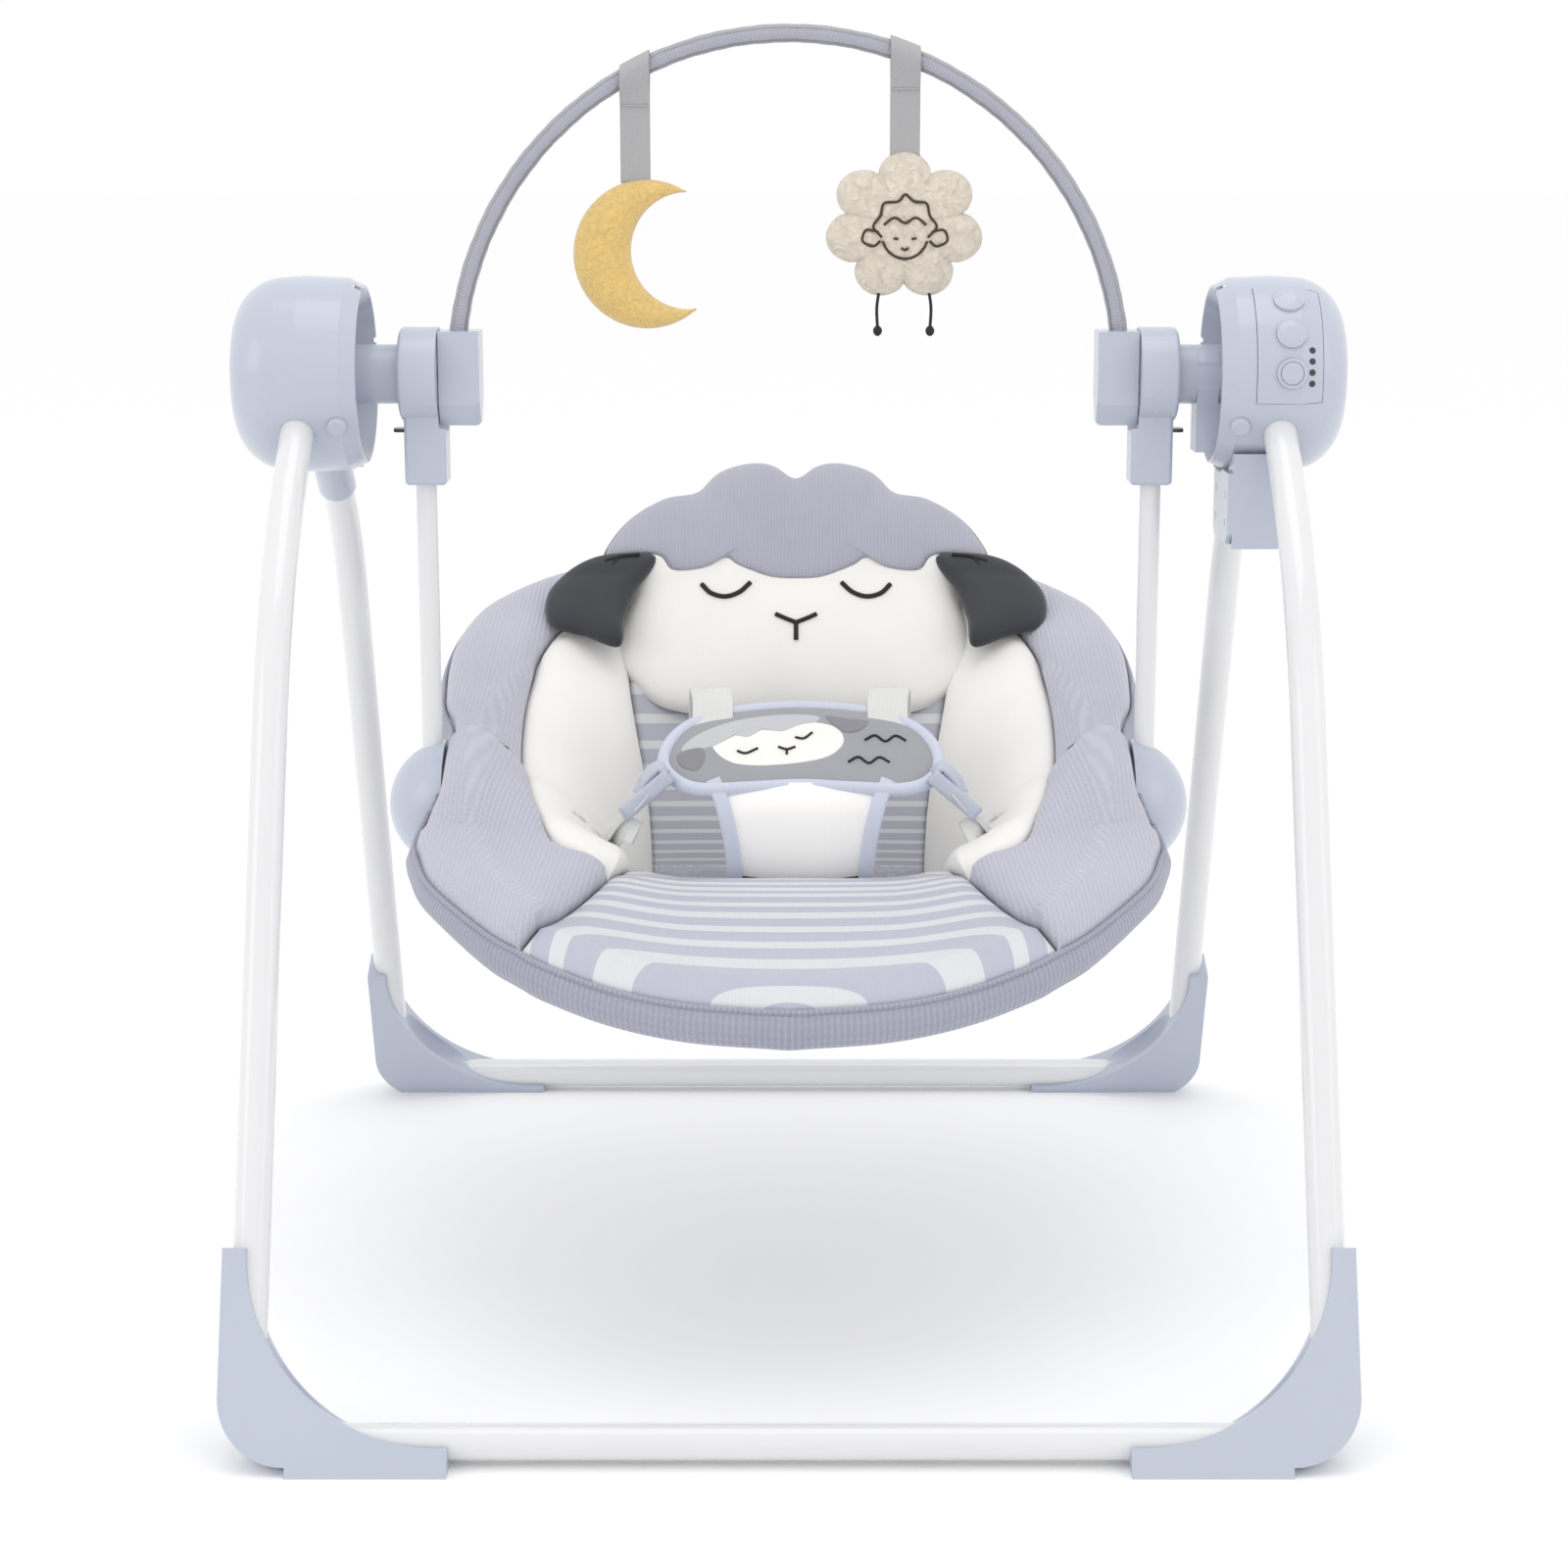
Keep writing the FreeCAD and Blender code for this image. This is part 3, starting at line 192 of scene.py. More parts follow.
# %% Grain group
def make_grain():
    """Two noises, one fine and one broad: Fine is the moulded texture, Broad slow change."""
    tree, enter, leave = group("grain", [("Scale", 900.0)], ["Fine", "Broad"])
    fine = node(tree, "TexNoise", Detail=3.0)
    broad = node(tree, "TexNoise", Scale=9.0, Detail=2.0)
    tree.links.new(enter.outputs["Vector"], fine.inputs["Vector"])
    tree.links.new(enter.outputs["Vector"], broad.inputs["Vector"])
    tree.links.new(enter.outputs["Scale"], fine.inputs["Scale"])
    tree.links.new(fine.outputs["Fac"], leave.inputs["Fine"])
    tree.links.new(broad.outputs["Fac"], leave.inputs["Broad"])
    return tree


GRAIN = make_grain()
print("group:", GRAIN.name)

# %% [markdown]
# A knitted rib is a sine wave across the cloth. The stitches are a second wave along it, and
# they shift a little from rib to rib as real loops do. The ribs could be real folds in the mesh.
# At two millimetres wide they would need millions of faces, and a bump shows them as well.


# %% Knit group
def make_knit():
    """Ribs with stitches across them: sin of one coordinate, broken up by the other.

    Rib and Stitch are the two widths in metres; Height is the cloth's relief and Dark the
    shadow between ribs; Broad is slow change of tone.
    """
    tree, enter, leave = group("knit", [("Rib", 0.002), ("Stitch", 0.0015)], ["Height", "Dark", "Broad"])
    split = node(tree, "SeparateXYZ")
    tree.links.new(enter.outputs["Vector"], split.inputs[0])
    turn = 2 * math.pi
    along = math_node(tree, "DIVIDE", split.outputs["Y"], enter.outputs["Stitch"])
    across = math_node(tree, "DIVIDE", split.outputs["X"], enter.outputs["Rib"])
    rib = math_node(tree, "SINE", math_node(tree, "MULTIPLY", across, turn))
    shift = math_node(tree, "MULTIPLY", rib, 0.25)
    stitch = math_node(tree, "SINE", math_node(tree, "MULTIPLY", math_node(tree, "ADD", along, shift), turn))
    rib_part = math_node(tree, "MULTIPLY", rib, 0.35)
    high = math_node(tree, "ADD", rib_part, math_node(tree, "MULTIPLY", stitch, 0.15))
    tree.links.new(math_node(tree, "ADD", high, 0.5), leave.inputs["Height"])
    dark = math_node(tree, "SUBTRACT", 0.5, math_node(tree, "MULTIPLY", rib, 0.5), clamp=True)
    tree.links.new(dark, leave.inputs["Dark"])
    broad = node(tree, "TexNoise", Scale=14.0, Detail=3.0)
    tree.links.new(enter.outputs["Vector"], broad.inputs["Vector"])
    tree.links.new(broad.outputs["Fac"], leave.inputs["Broad"])
    return tree


KNIT = make_knit()
print("group:", KNIT.name)

# %% [markdown]
# Terry and fleece are curls. A cell pattern whose input is warped by noise gives uneven clumps,
# and fine noise on top gives the fibres. Real strands would look finer, but they are slow to
# render and don't survive an export, while relief on the skin does.


# %% Pile group
def make_pile():
    """Curly or looped pile: soft cells for the curls and fine noise for the fibres."""
    tree, enter, leave = group("pile", [("Curl", 260.0)], ["Height", "Dark"])
    warp = node(tree, "TexNoise", Scale=90.0, Detail=2.0)
    mix = node(tree, "MixRGB", Fac=0.02)
    mix.blend_type = "ADD"
    cells = node(tree, "TexVoronoi", feature="SMOOTH_F1", Smoothness=0.6)
    fibre = node(tree, "TexNoise", Scale=1500.0, Detail=3.0)
    for target in (warp, fibre):
        tree.links.new(enter.outputs["Vector"], target.inputs["Vector"])
    tree.links.new(enter.outputs["Vector"], mix.inputs["Color1"])
    tree.links.new(warp.outputs["Color"], mix.inputs["Color2"])
    tree.links.new(mix.outputs[0], cells.inputs["Vector"])
    tree.links.new(enter.outputs["Curl"], cells.inputs["Scale"])
    low = math_node(tree, "MULTIPLY", cells.outputs["Distance"], 1.0, clamp=True)
    high = math_node(tree, "SUBTRACT", 1.0, low)
    hair = math_node(tree, "MULTIPLY", fibre.outputs["Fac"], 0.3)
    tree.links.new(math_node(tree, "ADD", high, hair), leave.inputs["Height"])
    tree.links.new(low, leave.inputs["Dark"])
    return tree


PILE = make_pile()
print("groups:", [g.name for g in bpy.data.node_groups])

# %% [markdown]
# Plastic and enamel differ only in colour, gloss and the size of their texture, so one maker
# serves both. The cloth maker adds sheen, which is the pale edge that fuzzy cloth shows
# where it turns away.


# %% Hard finishes
def start(name, colour, rough, **settings):
    """A material whose Principled shader has a colour, a roughness and other inputs by name."""
    mat = bpy.data.materials.new(name)
    mat.use_nodes = True
    shader = mat.node_tree.nodes["Principled BSDF"]
    shader.inputs["Base Color"].default_value = (*colour, 1)
    shader.inputs["Roughness"].default_value = rough
    for key, value in settings.items():
        shader.inputs[key.replace("_", " ")].default_value = value
    return mat, mat.node_tree, shader


def tone(tree, shader, colour, mask, low, high):
    """Base Color runs from colour x low to colour x high with a 0..1 mask."""
    dark, light = (tuple(min(1.0, c * by) for c in colour) for by in (low, high))
    tree.links.new(blend(tree, dark, light, mask), shader.inputs["Base Color"])


def bump(tree, shader, height, strength, distance):
    """Relief from a height socket; distance is its depth in metres at strength 1."""
    made = node(tree, "Bump", Strength=strength, Distance=distance)
    tree.links.new(height, made.inputs["Height"])
    tree.links.new(made.outputs["Normal"], shader.inputs["Normal"])


def hard(name, colour, rough, scale=900.0, depth=0.02, coat=0.0, metallic=0.0):
    """Moulded plastic, enamel or metal: fine grain in the bump, broad change in the gloss."""
    mat, tree, shader = start(name, colour, rough, Coat_Weight=coat, Coat_Roughness=0.08, Metallic=metallic)
    grain = use(tree, GRAIN, node(tree, "TexCoord").outputs["Object"], Scale=scale)
    tone(tree, shader, colour, grain.outputs["Broad"], 0.97, 1.03)
    gloss = math_node(tree, "MULTIPLY", grain.outputs["Broad"], 0.12)
    tree.links.new(math_node(tree, "ADD", gloss, rough - 0.06), shader.inputs["Roughness"])
    bump(tree, shader, grain.outputs["Fine"], depth, 0.0004)
    return mat


PALE = (0.475, 0.51, 0.60)
PLASTIC = hard("pale_blue_plastic", PALE, 0.28, coat=0.35)
SHOE = hard("shoe_plastic", (0.48, 0.52, 0.61), 0.36, coat=0.15)
ENAMEL = hard("white_enamel", (0.75, 0.75, 0.76), 0.16, scale=260.0, depth=0.03, coat=0.6)
STEEL = hard("turned_steel", (0.55, 0.55, 0.57), 0.30, metallic=1.0)
DARK = hard("dark_plastic", (0.035, 0.038, 0.045), 0.35, coat=0.2)
ACETAL = hard("acetal_bush", (0.72, 0.72, 0.69), 0.45)
BOARD = hard("green_board", (0.03, 0.14, 0.06), 0.40, coat=0.3)
COPPER = hard("copper_wire", (0.70, 0.32, 0.16), 0.30, scale=2500.0, depth=0.2, metallic=1.0)
JACKET = hard("cell_jacket", (0.09, 0.10, 0.12), 0.30, coat=0.4)
print("hard finishes:", len(bpy.data.materials))

# %% [markdown]
# One maker does all ribbed and smooth cloth, since velour is only a very fine rib. Another
# does the two curly cloths of the toys.


# %% Soft finishes
CLOTH_ROUGH, CLOTH_SHINE = 0.92, 0.25


def soft(name, colour, rib, stitch, relief=0.5, sheen=0.35, low=0.80, turn=0.0):
    """Ribbed cloth on the piece's own UV map; turn slants the ribs, in degrees."""
    mat, tree, shader = start(name, colour, CLOTH_ROUGH, Sheen_Weight=sheen, Sheen_Roughness=0.5,
                              Specular_IOR_Level=CLOTH_SHINE)
    slant = node(tree, "Mapping", Rotation=(0, 0, math.radians(turn)))
    tree.links.new(node(tree, "UVMap").outputs["UV"], slant.inputs["Vector"])
    knit = use(tree, KNIT, slant.outputs["Vector"], Rib=rib, Stitch=stitch)
    lift = math_node(tree, "MULTIPLY", knit.outputs["Broad"], 0.30)
    shade = math_node(tree, "SUBTRACT", math_node(tree, "ADD", lift, 0.85),
                      math_node(tree, "MULTIPLY", knit.outputs["Dark"], 1 - low), clamp=True)
    tone(tree, shader, colour, shade, 0.55, 1.04)
    bump(tree, shader, knit.outputs["Height"], relief, 0.0008)
    return mat


def plush(name, colour, curl, relief):
    """Terry or fleece: curls from the pile group, on object coordinates."""
    mat, tree, shader = start(name, colour, 0.95, Sheen_Weight=0.5, Specular_IOR_Level=0.15)
    pile = use(tree, PILE, node(tree, "TexCoord").outputs["Object"], Curl=curl)
    # Darker where the pile is low: painted shade in the hollows between the curls, with fibre noise as the
    # cloth's own tone.
    tone(tree, shader, colour, pile.outputs["Height"], 0.72, 1.05)
    bump(tree, shader, pile.outputs["Height"], relief, 0.002)
    return mat


LAVENDER = soft("lavender_rib_cloth", (0.515, 0.515, 0.60), 0.0027, 0.0022, turn=4, relief=0.6)
LIP = soft("lavender_band", (0.36, 0.37, 0.455), 0.0030, 0.0040, low=0.70, relief=0.8)
CREAM = soft("cream_velour", (0.86, 0.845, 0.81), 0.0009, 0.0009, low=0.96, relief=0.15, sheen=0.5)
CHARCOAL = soft("charcoal_velour", (0.045, 0.047, 0.055), 0.0009, 0.0009, low=0.9, relief=0.2, sheen=0.25)
RIBBON = soft("grey_ribbon", (0.42, 0.42, 0.43), 0.0012, 0.0008, low=0.85, relief=0.4, sheen=0.1)
WEBBING = soft("white_webbing", (0.74, 0.74, 0.73), 0.0016, 0.0011, low=0.85, relief=0.5, sheen=0.1)
BINDING = soft("pale_blue_binding", (0.60, 0.63, 0.74), 0.0014, 0.0012, low=0.9, relief=0.3, sheen=0.2)
HAIR = soft("hair_knit", (0.42, 0.425, 0.50), 0.0022, 0.0022, relief=0.6)
FOG = soft("light_grey_felt", (0.52, 0.53, 0.55), 0.0009, 0.0009, low=0.95, relief=0.15)
SLATE = soft("dark_grey_felt", (0.24, 0.24, 0.26), 0.0009, 0.0009, low=0.95, relief=0.15)
PLATE_CLOTH = soft("mid_grey_felt", (0.33, 0.335, 0.36), 0.0009, 0.0009, low=0.95, relief=0.15)
VELOUR = soft("white_velour", (0.93, 0.915, 0.89), 0.0010, 0.0010, low=0.97, relief=0.15, sheen=0.4)
SLEEVE = soft("grey_sleeve", (0.42, 0.425, 0.49), 0.0018, 0.0014, low=0.8, relief=0.5, sheen=0.2)
THREAD = hard("black_thread", (0.012, 0.011, 0.012), 0.7, scale=3000.0, depth=0.3)
BROWN = hard("brown_thread", (0.055, 0.035, 0.022), 0.7, scale=3000.0, depth=0.3)
TERRY = plush("mustard_terry", (0.78, 0.55, 0.20), 520.0, 0.45)
SHERPA = plush("cream_sherpa", (0.78, 0.70, 0.59), 230.0, 1.0)
print("materials:", len(bpy.data.materials))

# %% [markdown]
# ## Finishes on the solid pieces
# Every solid that arrives with the frame keeps its shape. It only gets its material slots filled
# with one of the finishes above, by the kind of piece that its name says. A few names are odd
# ones and the endings of the others say what they are, so a short table does for all of them.

# %% Dress the solids
FINISH = {"axles": STEEL, "fold_pins": STEEL, "housing_screws": STEEL, "swing_bearings": ACETAL,
          "left_arm_button": DARK, "right_arm_button": DARK, "indicator_lights": DARK,
          "circuit_board": BOARD, "speaker": DARK, "drive_coil": COPPER, "batteries": JACKET,
          "battery_contacts": STEEL, "drive_magnet": STEEL}


def finish_for(name):
    """The finish of a solid, by its name: an odd one, a tube, a foot or plain plastic."""
    if name in FINISH:
        return FINISH[name]
    if name.endswith(("_tube", "_leg", "_swing_arm")):
        return ENAMEL
    return SHOE if name.endswith("_foot") else PLASTIC


for name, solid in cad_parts.items():
    for place in solid.material_slots:
        place.material = finish_for(name)
print("dressed", len(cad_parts), "solids")

# %% [markdown]
# ## Surfaces on grids
# Everything below is a grid of points worked out in one go: an array of rows and columns in
# millimetres, with a UV map in metres beside it. `piece` turns such grids into one mesh,
# joins the ends when a grid closes on itself, and fills the two poles when asked.


# %% From a grid to a piece
def quads(rows, cols, wrap_rows=False, wrap_cols=False):
    """Corner numbers of every cell of a grid, with the last row or column joined to the first."""
    i, j = np.meshgrid(np.arange(rows - (not wrap_rows)), np.arange(cols - (not wrap_cols)), indexing="ij")
    k, m = (i + 1) % rows, (j + 1) % cols
    return np.stack([i * cols + j, k * cols + j, k * cols + m, i * cols + m], -1).reshape(-1, 4)


def piece(name, parts, finish, body):
    """One object from several grids; a grid is a dict with points, uv and its wraps and caps.

    points is rows x columns x 3 in millimetres, uv is rows x columns x 2 in metres, or the
    flat pattern of `lay_out` when it is left out. `slot` is the number of the finish. A cap
    closes the first or last row with one point in its middle, and `flip` turns the faces.
    """
    finishes = finish if isinstance(finish, (list, tuple)) else [finish]
    co, faces, slots, uvs, base = [], [], [], [], 0
    for g in parts:
        p = g["points"]
        rows, cols = p.shape[:2]
        wrap_r, wrap_c = g.get("wrap_rows", False), g.get("wrap_cols", False)
        q = quads(rows, cols, wrap_r, wrap_c)
        if g.get("flip"):
            q = q[:, ::-1]
        uv = g.get("uv")
        if uv is None:
            uv = lay_out(p)
        flat = uv.reshape(-1, 2)
        co.append(p.reshape(-1, 3))
        faces += (q + base).tolist()
        uvs.append(flat[q].reshape(-1, 2))
        slots += [g.get("slot", 0)] * len(q)
        count = rows * cols
        for end in g.get("caps", ()):
            row = 0 if end == "first" else rows - 1
            ring = np.arange(cols) + row * cols
            co.append(p[row].mean(axis=0, keepdims=True))
            nxt = np.roll(ring, -1)
            fan = np.stack([np.full(cols, count), nxt, ring] if end == "first" else
                           [np.full(cols, count), ring, nxt], -1)
            if g.get("flip"):
                fan = fan[:, ::-1]
            faces += (fan + base).tolist()
            middle = flat[row * cols:(row + 1) * cols].mean(axis=0, keepdims=True)
            uvs.append(np.vstack([flat, np.zeros((count - rows * cols, 2)), middle])[fan].reshape(-1, 2))
            slots += [g.get("slot", 0)] * cols
            count += 1
        base += count
    mesh = bpy.data.meshes.new(name)
    mesh.from_pydata((np.vstack(co) * MM).tolist(), [], faces)
    layer = mesh.uv_layers.new(name="UVMap")
    layer.data.foreach_set("uv", np.vstack(uvs).astype(np.float32).ravel())
    for f in finishes:
        mesh.materials.append(f)
    mesh.polygons.foreach_set("material_index", np.array(slots, dtype=np.int32))
    mesh.polygons.foreach_set("use_smooth", np.full(len(faces), True))
    mesh.validate()
    mesh.update()
    obj = bpy.data.objects.new(name, mesh)
    scene.collection.objects.link(obj)
    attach(obj, body)
    print(f"{name}: {len(mesh.vertices)} points")
    return obj


print("a 2 x 2 grid has", len(quads(2, 2)), "cell")

# %% [markdown]
# Seams, threads and tubes all start as a line through a few chosen points. `lay_out` measures
# along a grid, so that cloth keeps its scale where it bends.


# %% Lines and patterns
def lay_out(p):
    """A flat cutting pattern for a grid: distance run along the columns and along the rows."""
    step_c = np.linalg.norm(np.diff(p, axis=1, prepend=p[:, :1]), axis=2).cumsum(axis=1)
    step_r = np.linalg.norm(np.diff(p, axis=0, prepend=p[:1]), axis=2).cumsum(axis=0)
    return np.stack([step_c - step_c.mean(axis=1, keepdims=True), step_r], -1) * MM


def smooth_line(points, count, closed=False):
    """A Catmull-Rom curve: each span is the cubic that leaves and meets its points in the
    direction of their neighbours. Resampled to even steps."""
    p = np.asarray(points, float)
    if closed:
        ext = np.vstack([p[-1:], p, p[:2]])
    else:
        ext = np.vstack([2 * p[0] - p[1], p, 2 * p[-1] - p[-2]])
    t = np.linspace(0, 1, 24, endpoint=False)[:, None]
    a, b, c, d = ext[:-3, None], ext[1:-2, None], ext[2:-1, None], ext[3:, None]
    curve = 0.5 * (2 * b + (c - a) * t + (2 * a - 5 * b + 4 * c - d) * t ** 2
                   + (3 * b - a - 3 * c + d) * t ** 3)
    curve = np.vstack([curve.reshape(-1, p.shape[1]), ext[-2:-1]])
    run = np.r_[0, np.linalg.norm(np.diff(curve, axis=0), axis=1).cumsum()]
    at = np.linspace(0, run[-1], count, endpoint=not closed)
    return np.stack([np.interp(at, run, curve[:, k]) for k in range(p.shape[1])], -1)


def ease(t):
    """A smooth step from 0 to 1: 3t^2 - 2t^3."""
    t = np.clip(t, 0, 1)
    return t * t * (3 - 2 * t)


print("half way up the smooth step:", float(ease(0.5)))

# %% [markdown]
# A round thing along a line needs two directions square to the line at each point. They come
# from cross products with one fixed direction, so the tube never twists.

# %% Tubes along lines
UP = np.array([0.0, 0.0, 1.0])


def frames(line, up=UP, closed=False):
    """Two unit directions square to a line: one level (side), one upright (over)."""
    if closed:
        tangent = np.roll(line, -1, axis=0) - np.roll(line, 1, axis=0)
    else:
        tangent = np.gradient(line, axis=0)
    tangent = tangent / np.linalg.norm(tangent, axis=1, keepdims=True)
    side = np.cross(tangent, up)
    side = side / np.maximum(np.linalg.norm(side, axis=1, keepdims=True), 1e-9)
    return side, np.cross(side, tangent)


def roll(line, radius, closed=False, flat=1.0, sides=12, up=UP, slot=0):
    """A round (or flattened) tube along a line: centre + side*r*cos(a) + over*r*flat*sin(a)."""
    side, over = frames(line, np.asarray(up, float), closed)
    a = np.linspace(0, 2 * np.pi, sides, endpoint=False)[None, :, None]
    r = np.broadcast_to(np.asarray(radius, float).reshape(-1, 1, 1), (len(line), 1, 1))
    points = line[:, None] + side[:, None] * r * np.cos(a) + over[:, None] * r * flat * np.sin(a)
    along = np.r_[0, np.linalg.norm(np.diff(line, axis=0), axis=1).cumsum()] * MM
    around = np.linspace(0, 2 * np.pi, sides, endpoint=False) * float(np.mean(radius)) * MM
    uv = np.stack(np.broadcast_arrays(along[:, None], around[None, :]), -1)
    return {"points": points, "uv": uv, "wrap_cols": True, "wrap_rows": closed, "slot": slot,
            "caps": () if closed else ("first", "last")}


print("surface tools ready")

# %% [markdown]
# ## The seat's one surface
# All the panels of the seat lie on one dished surface, the same one that the solid padding has:
# a thigh ramp, a hip well and a backrest along the middle, rising to the rim. Writing it once as
# a height over (x, y) means that panels that share a seam always meet. Each panel could be
# shaped on its own, but then every seam would have to be matched by eye.

# %% Height of the padding
SEAT_Z = 276.0                       # the pivots' height
HALF_X, REACH_FRONT, REACH_BACK = 187.0, 224.0, 198.0
HUMP_Y, HUMP_Z, WELL_Z = -42.0, 242.0, 200.0


def rim_height(y):
    """Height of the rim: two slopes that meet in a smooth bend over the pivots."""
    return SEAT_Z + 0.384 * y + 0.116 * (np.hypot(y, 40.0) - 40.0)


def middle_height(y):
    """Height along the middle: a ramp, a smooth drop into the well, and the backrest, whose
    meeting with the well is rounded by (a + b + hypot(a - b, 24)) / 2."""
    ramp = HUMP_Z + 0.187 * (y - HUMP_Y)
    fall = ease((y - HUMP_Y + 8) / 45.0)
    well = ramp * (1 - fall) + WELL_Z * fall
    rest = 362.0 + (y - 214.0)
    return np.where(y > 0, 0.5 * (well + rest + np.hypot(well - rest, 24.0)), well)


def seat_height(x, y):
    """The padding's upper face: middle height blended to rim height by how far out it is."""
    far = np.where(y > 0, REACH_BACK, REACH_FRONT)
    r = np.clip((np.abs(x / HALF_X) ** 2.2 + np.abs(y / far) ** 2.2) ** 0.45, 0, 1)
    side = 0.8 * ease((np.abs(x) - 55.0) / 110.0)
    rise = 1 - (1 - r ** 4) * (1 - side)
    return middle_height(y) * (1 - rise) + rim_height(y) * rise - 4.0


print("well", float(seat_height(np.array(0.0), np.array(20.0))), "mm")

# %% [markdown]
# ## Seams of the seat
# The cover is cut into five kinds of panel: ribbed wings all round, two smooth leaf-shaped
# side bolsters, a striped back, a striped thigh pad and a band round the front. Each seam is
# a short list of points in plan, on one half, that the other half mirrors.

# %% Mirror
def mirrored(line):
    """The same seam on the other half: x changes sign."""
    return line * np.array([-1.0, 1.0])


print("a seam point and its twin:", mirrored(np.array([10.0, 5.0])).tolist(), "and [10.0, 5.0]")

# %% [markdown]
# ## Cushioned panels
# Each panel is a sheet of filled cloth between two seams. Lifting it along the surface's own
# upright direction keeps steep panels, such as the sides of the well, as full as flat ones.
# Solidify then gives it a back, so it is a closed piece. A cloth simulation could inflate them,
# but it is hard to steer to a seam, and a formula gives the same fullness every time.


# %% Height of the cushions
def lip_rise(y):
    """How far the edge stands above the plain rim: 6 mm over the tubes, 4 mm more just behind
    the pivots, 13 mm in front, and a 27 mm hump, exp(-(distance / 30 mm)^4), where the cloth
    climbs over the pivot discs."""
    over_tubes = 6.0 + 7.0 * ease((-y - 50.0) / 150.0) + 4.0 * np.exp(-((y - 50.0) / 30.0) ** 2)
    return over_tubes + 27.0 * np.exp(-((y + 14.0) / 30.0) ** 4)


def cushion_height(x, y):
    """The seat's surface, raised near its edge to the height of the rim and the front lip."""
    far = np.where(y > 0, REACH_BACK, REACH_FRONT)
    out = np.clip((np.abs(x / HALF_X) ** 2.2 + np.abs(y / far) ** 2.2) ** 0.45, 0, 1)
    return seat_height(x, y) + (4.0 + lip_rise(y)) * out ** 5


def surface_normal(x, y, step=1.0):
    """Unit normal of the cushion: (-dz/dx, -dz/dy, 1), by small differences."""
    dx = (cushion_height(x + step, y) - cushion_height(x - step, y)) / (2 * step)
    dy = (cushion_height(x, y + step) - cushion_height(x, y - step)) / (2 * step)
    n = np.stack([-dx, -dy, np.ones_like(dx)], -1)
    return n / np.linalg.norm(n, axis=-1, keepdims=True)


def pillow_room(y):
    """Less filling behind the head pillow, which lies on the panels there: 1 down to 0.25."""
    return 1.0 - 0.75 * ease((y - 95.0) / 60.0)


print("edge over a pivot disc:", round(float(lip_rise(-14.0))), "mm up")

# %% [markdown]
# A panel is filled between its seams. The fullness is the same everywhere past `reach`, and
# falls to nothing at a sewn edge along a rounded curve, as stuffed cloth does.


# %% Filled panels
def filled(left, right, puff, across=30, hold=(1, 1, 1, 1), reach=34.0, wave=None, room=None):
    """A filled panel between two seams in plan: straight across, lifted by puff * (1 - (1-k)^3)^0.5,
    where k runs from 0 on the nearest sewn edge to 1 at `reach` millimetres from it. `hold` says
    how far each edge is drawn down: 1 to the surface, less where two filled panels meet."""
    t = np.linspace(0, 1, across)[None, :, None]
    xy = left[:, None] * (1 - t) + right[:, None] * t
    u, v = t[:, :, 0], np.linspace(0, 1, len(left))[:, None]
    width = np.linalg.norm(left - right, axis=1)[:, None]
    length = np.linalg.norm(np.diff((left + right) / 2, axis=0), axis=1).sum()
    lift = np.ones(xy.shape[:2])
    spans = (u * width, (1 - u) * width, v * length, (1 - v) * length)
    for held, distance, size in zip(hold, spans, (width, width, length, length)):
        if np.any(held):
            near = np.clip(distance / np.clip(np.maximum(size, 1) * 0.5, 1, reach), 0, 1)
            lift = np.minimum(lift, 1 - held * (1 - np.sqrt(np.maximum(0, 1 - (1 - near) ** 3))))
    x, y = xy[..., 0], xy[..., 1]
    rise = puff * lift * (1 if room is None else room(y)) + (0 if wave is None else wave(x, y) * lift)
    points = np.dstack([xy, cushion_height(x, y)]) + surface_normal(x, y) * rise[..., None]
    return {"points": points, "uv": xy * MM}


def backed(obj, thick=4.0):
    """Gives an open panel a back, `thick` millimetres inside its face."""
    solid = obj.modifiers.new("back", "SOLIDIFY")
    solid.thickness = thick * MM
    solid.offset = -1
    return obj


def hand(grid, side):
    """The same grid on the other side (side -1), its faces turned to keep facing out."""
    if side > 0:
        return grid
    turned = dict(grid)
    turned["points"] = grid["points"] * np.array([-1.0, 1.0, 1.0])
    turned["flip"] = not grid.get("flip", False)
    return turned


print("panel makers ready")

# %% [markdown]
# The outer edge is three lines that follow each other: back, side and front. The side pulls
# in beside the hub. The leaf's two edges meet at its ends.

# %% Seams in plan
BACK_EDGE = smooth_line([(0, 223.5), (-60, 223.5), (-121, 217)], 40)
SIDE_EDGE = smooth_line([(-121, 217), (-160, 200.5), (-190.5, 178), (-205, 151), (-211.5, 122),
                         (-211.5, 95), (-209.5, 76), (-203, 58), (-201.5, 38), (-201.5, 10),
                         (-201.5, -14), (-202, -34), (-208, -44), (-214.5, -58), (-211, -76),
                         (-202, -106), (-183, -139.5), (-160.5, -172), (-144, -189)], 150)
FRONT_EDGE = smooth_line([(-144, -189), (-130, -202.5), (-94.5, -226.5), (-54.5, -242), (0, -249.5)], 50)
LEAF_OUT = smooth_line([(-112, 196), (-128, 176), (-150, 142), (-161, 100), (-164.5, 62), (-162, 20),
                        (-155.5, -14), (-144, -40), (-128, -56), (-104, -62)], 110)
LEAF_IN = smooth_line([(-112, 196), (-106, 172), (-103, 150), (-95, 112), (-88, 84), (-85, 58), (-84, 20),
                       (-87, -12), (-94, -42), (-104, -62)], 110)
THIGH_SEAM = smooth_line([(-104, -62), (-144, -189)], 60)
WING_IN = smooth_line(np.vstack([LEAF_OUT[::8], LEAF_OUT[-1:], THIGH_SEAM[10::10]]), 150)
print("panels share", len(WING_IN) + len(LEAF_IN) + len(THIGH_SEAM), "seam points a side")


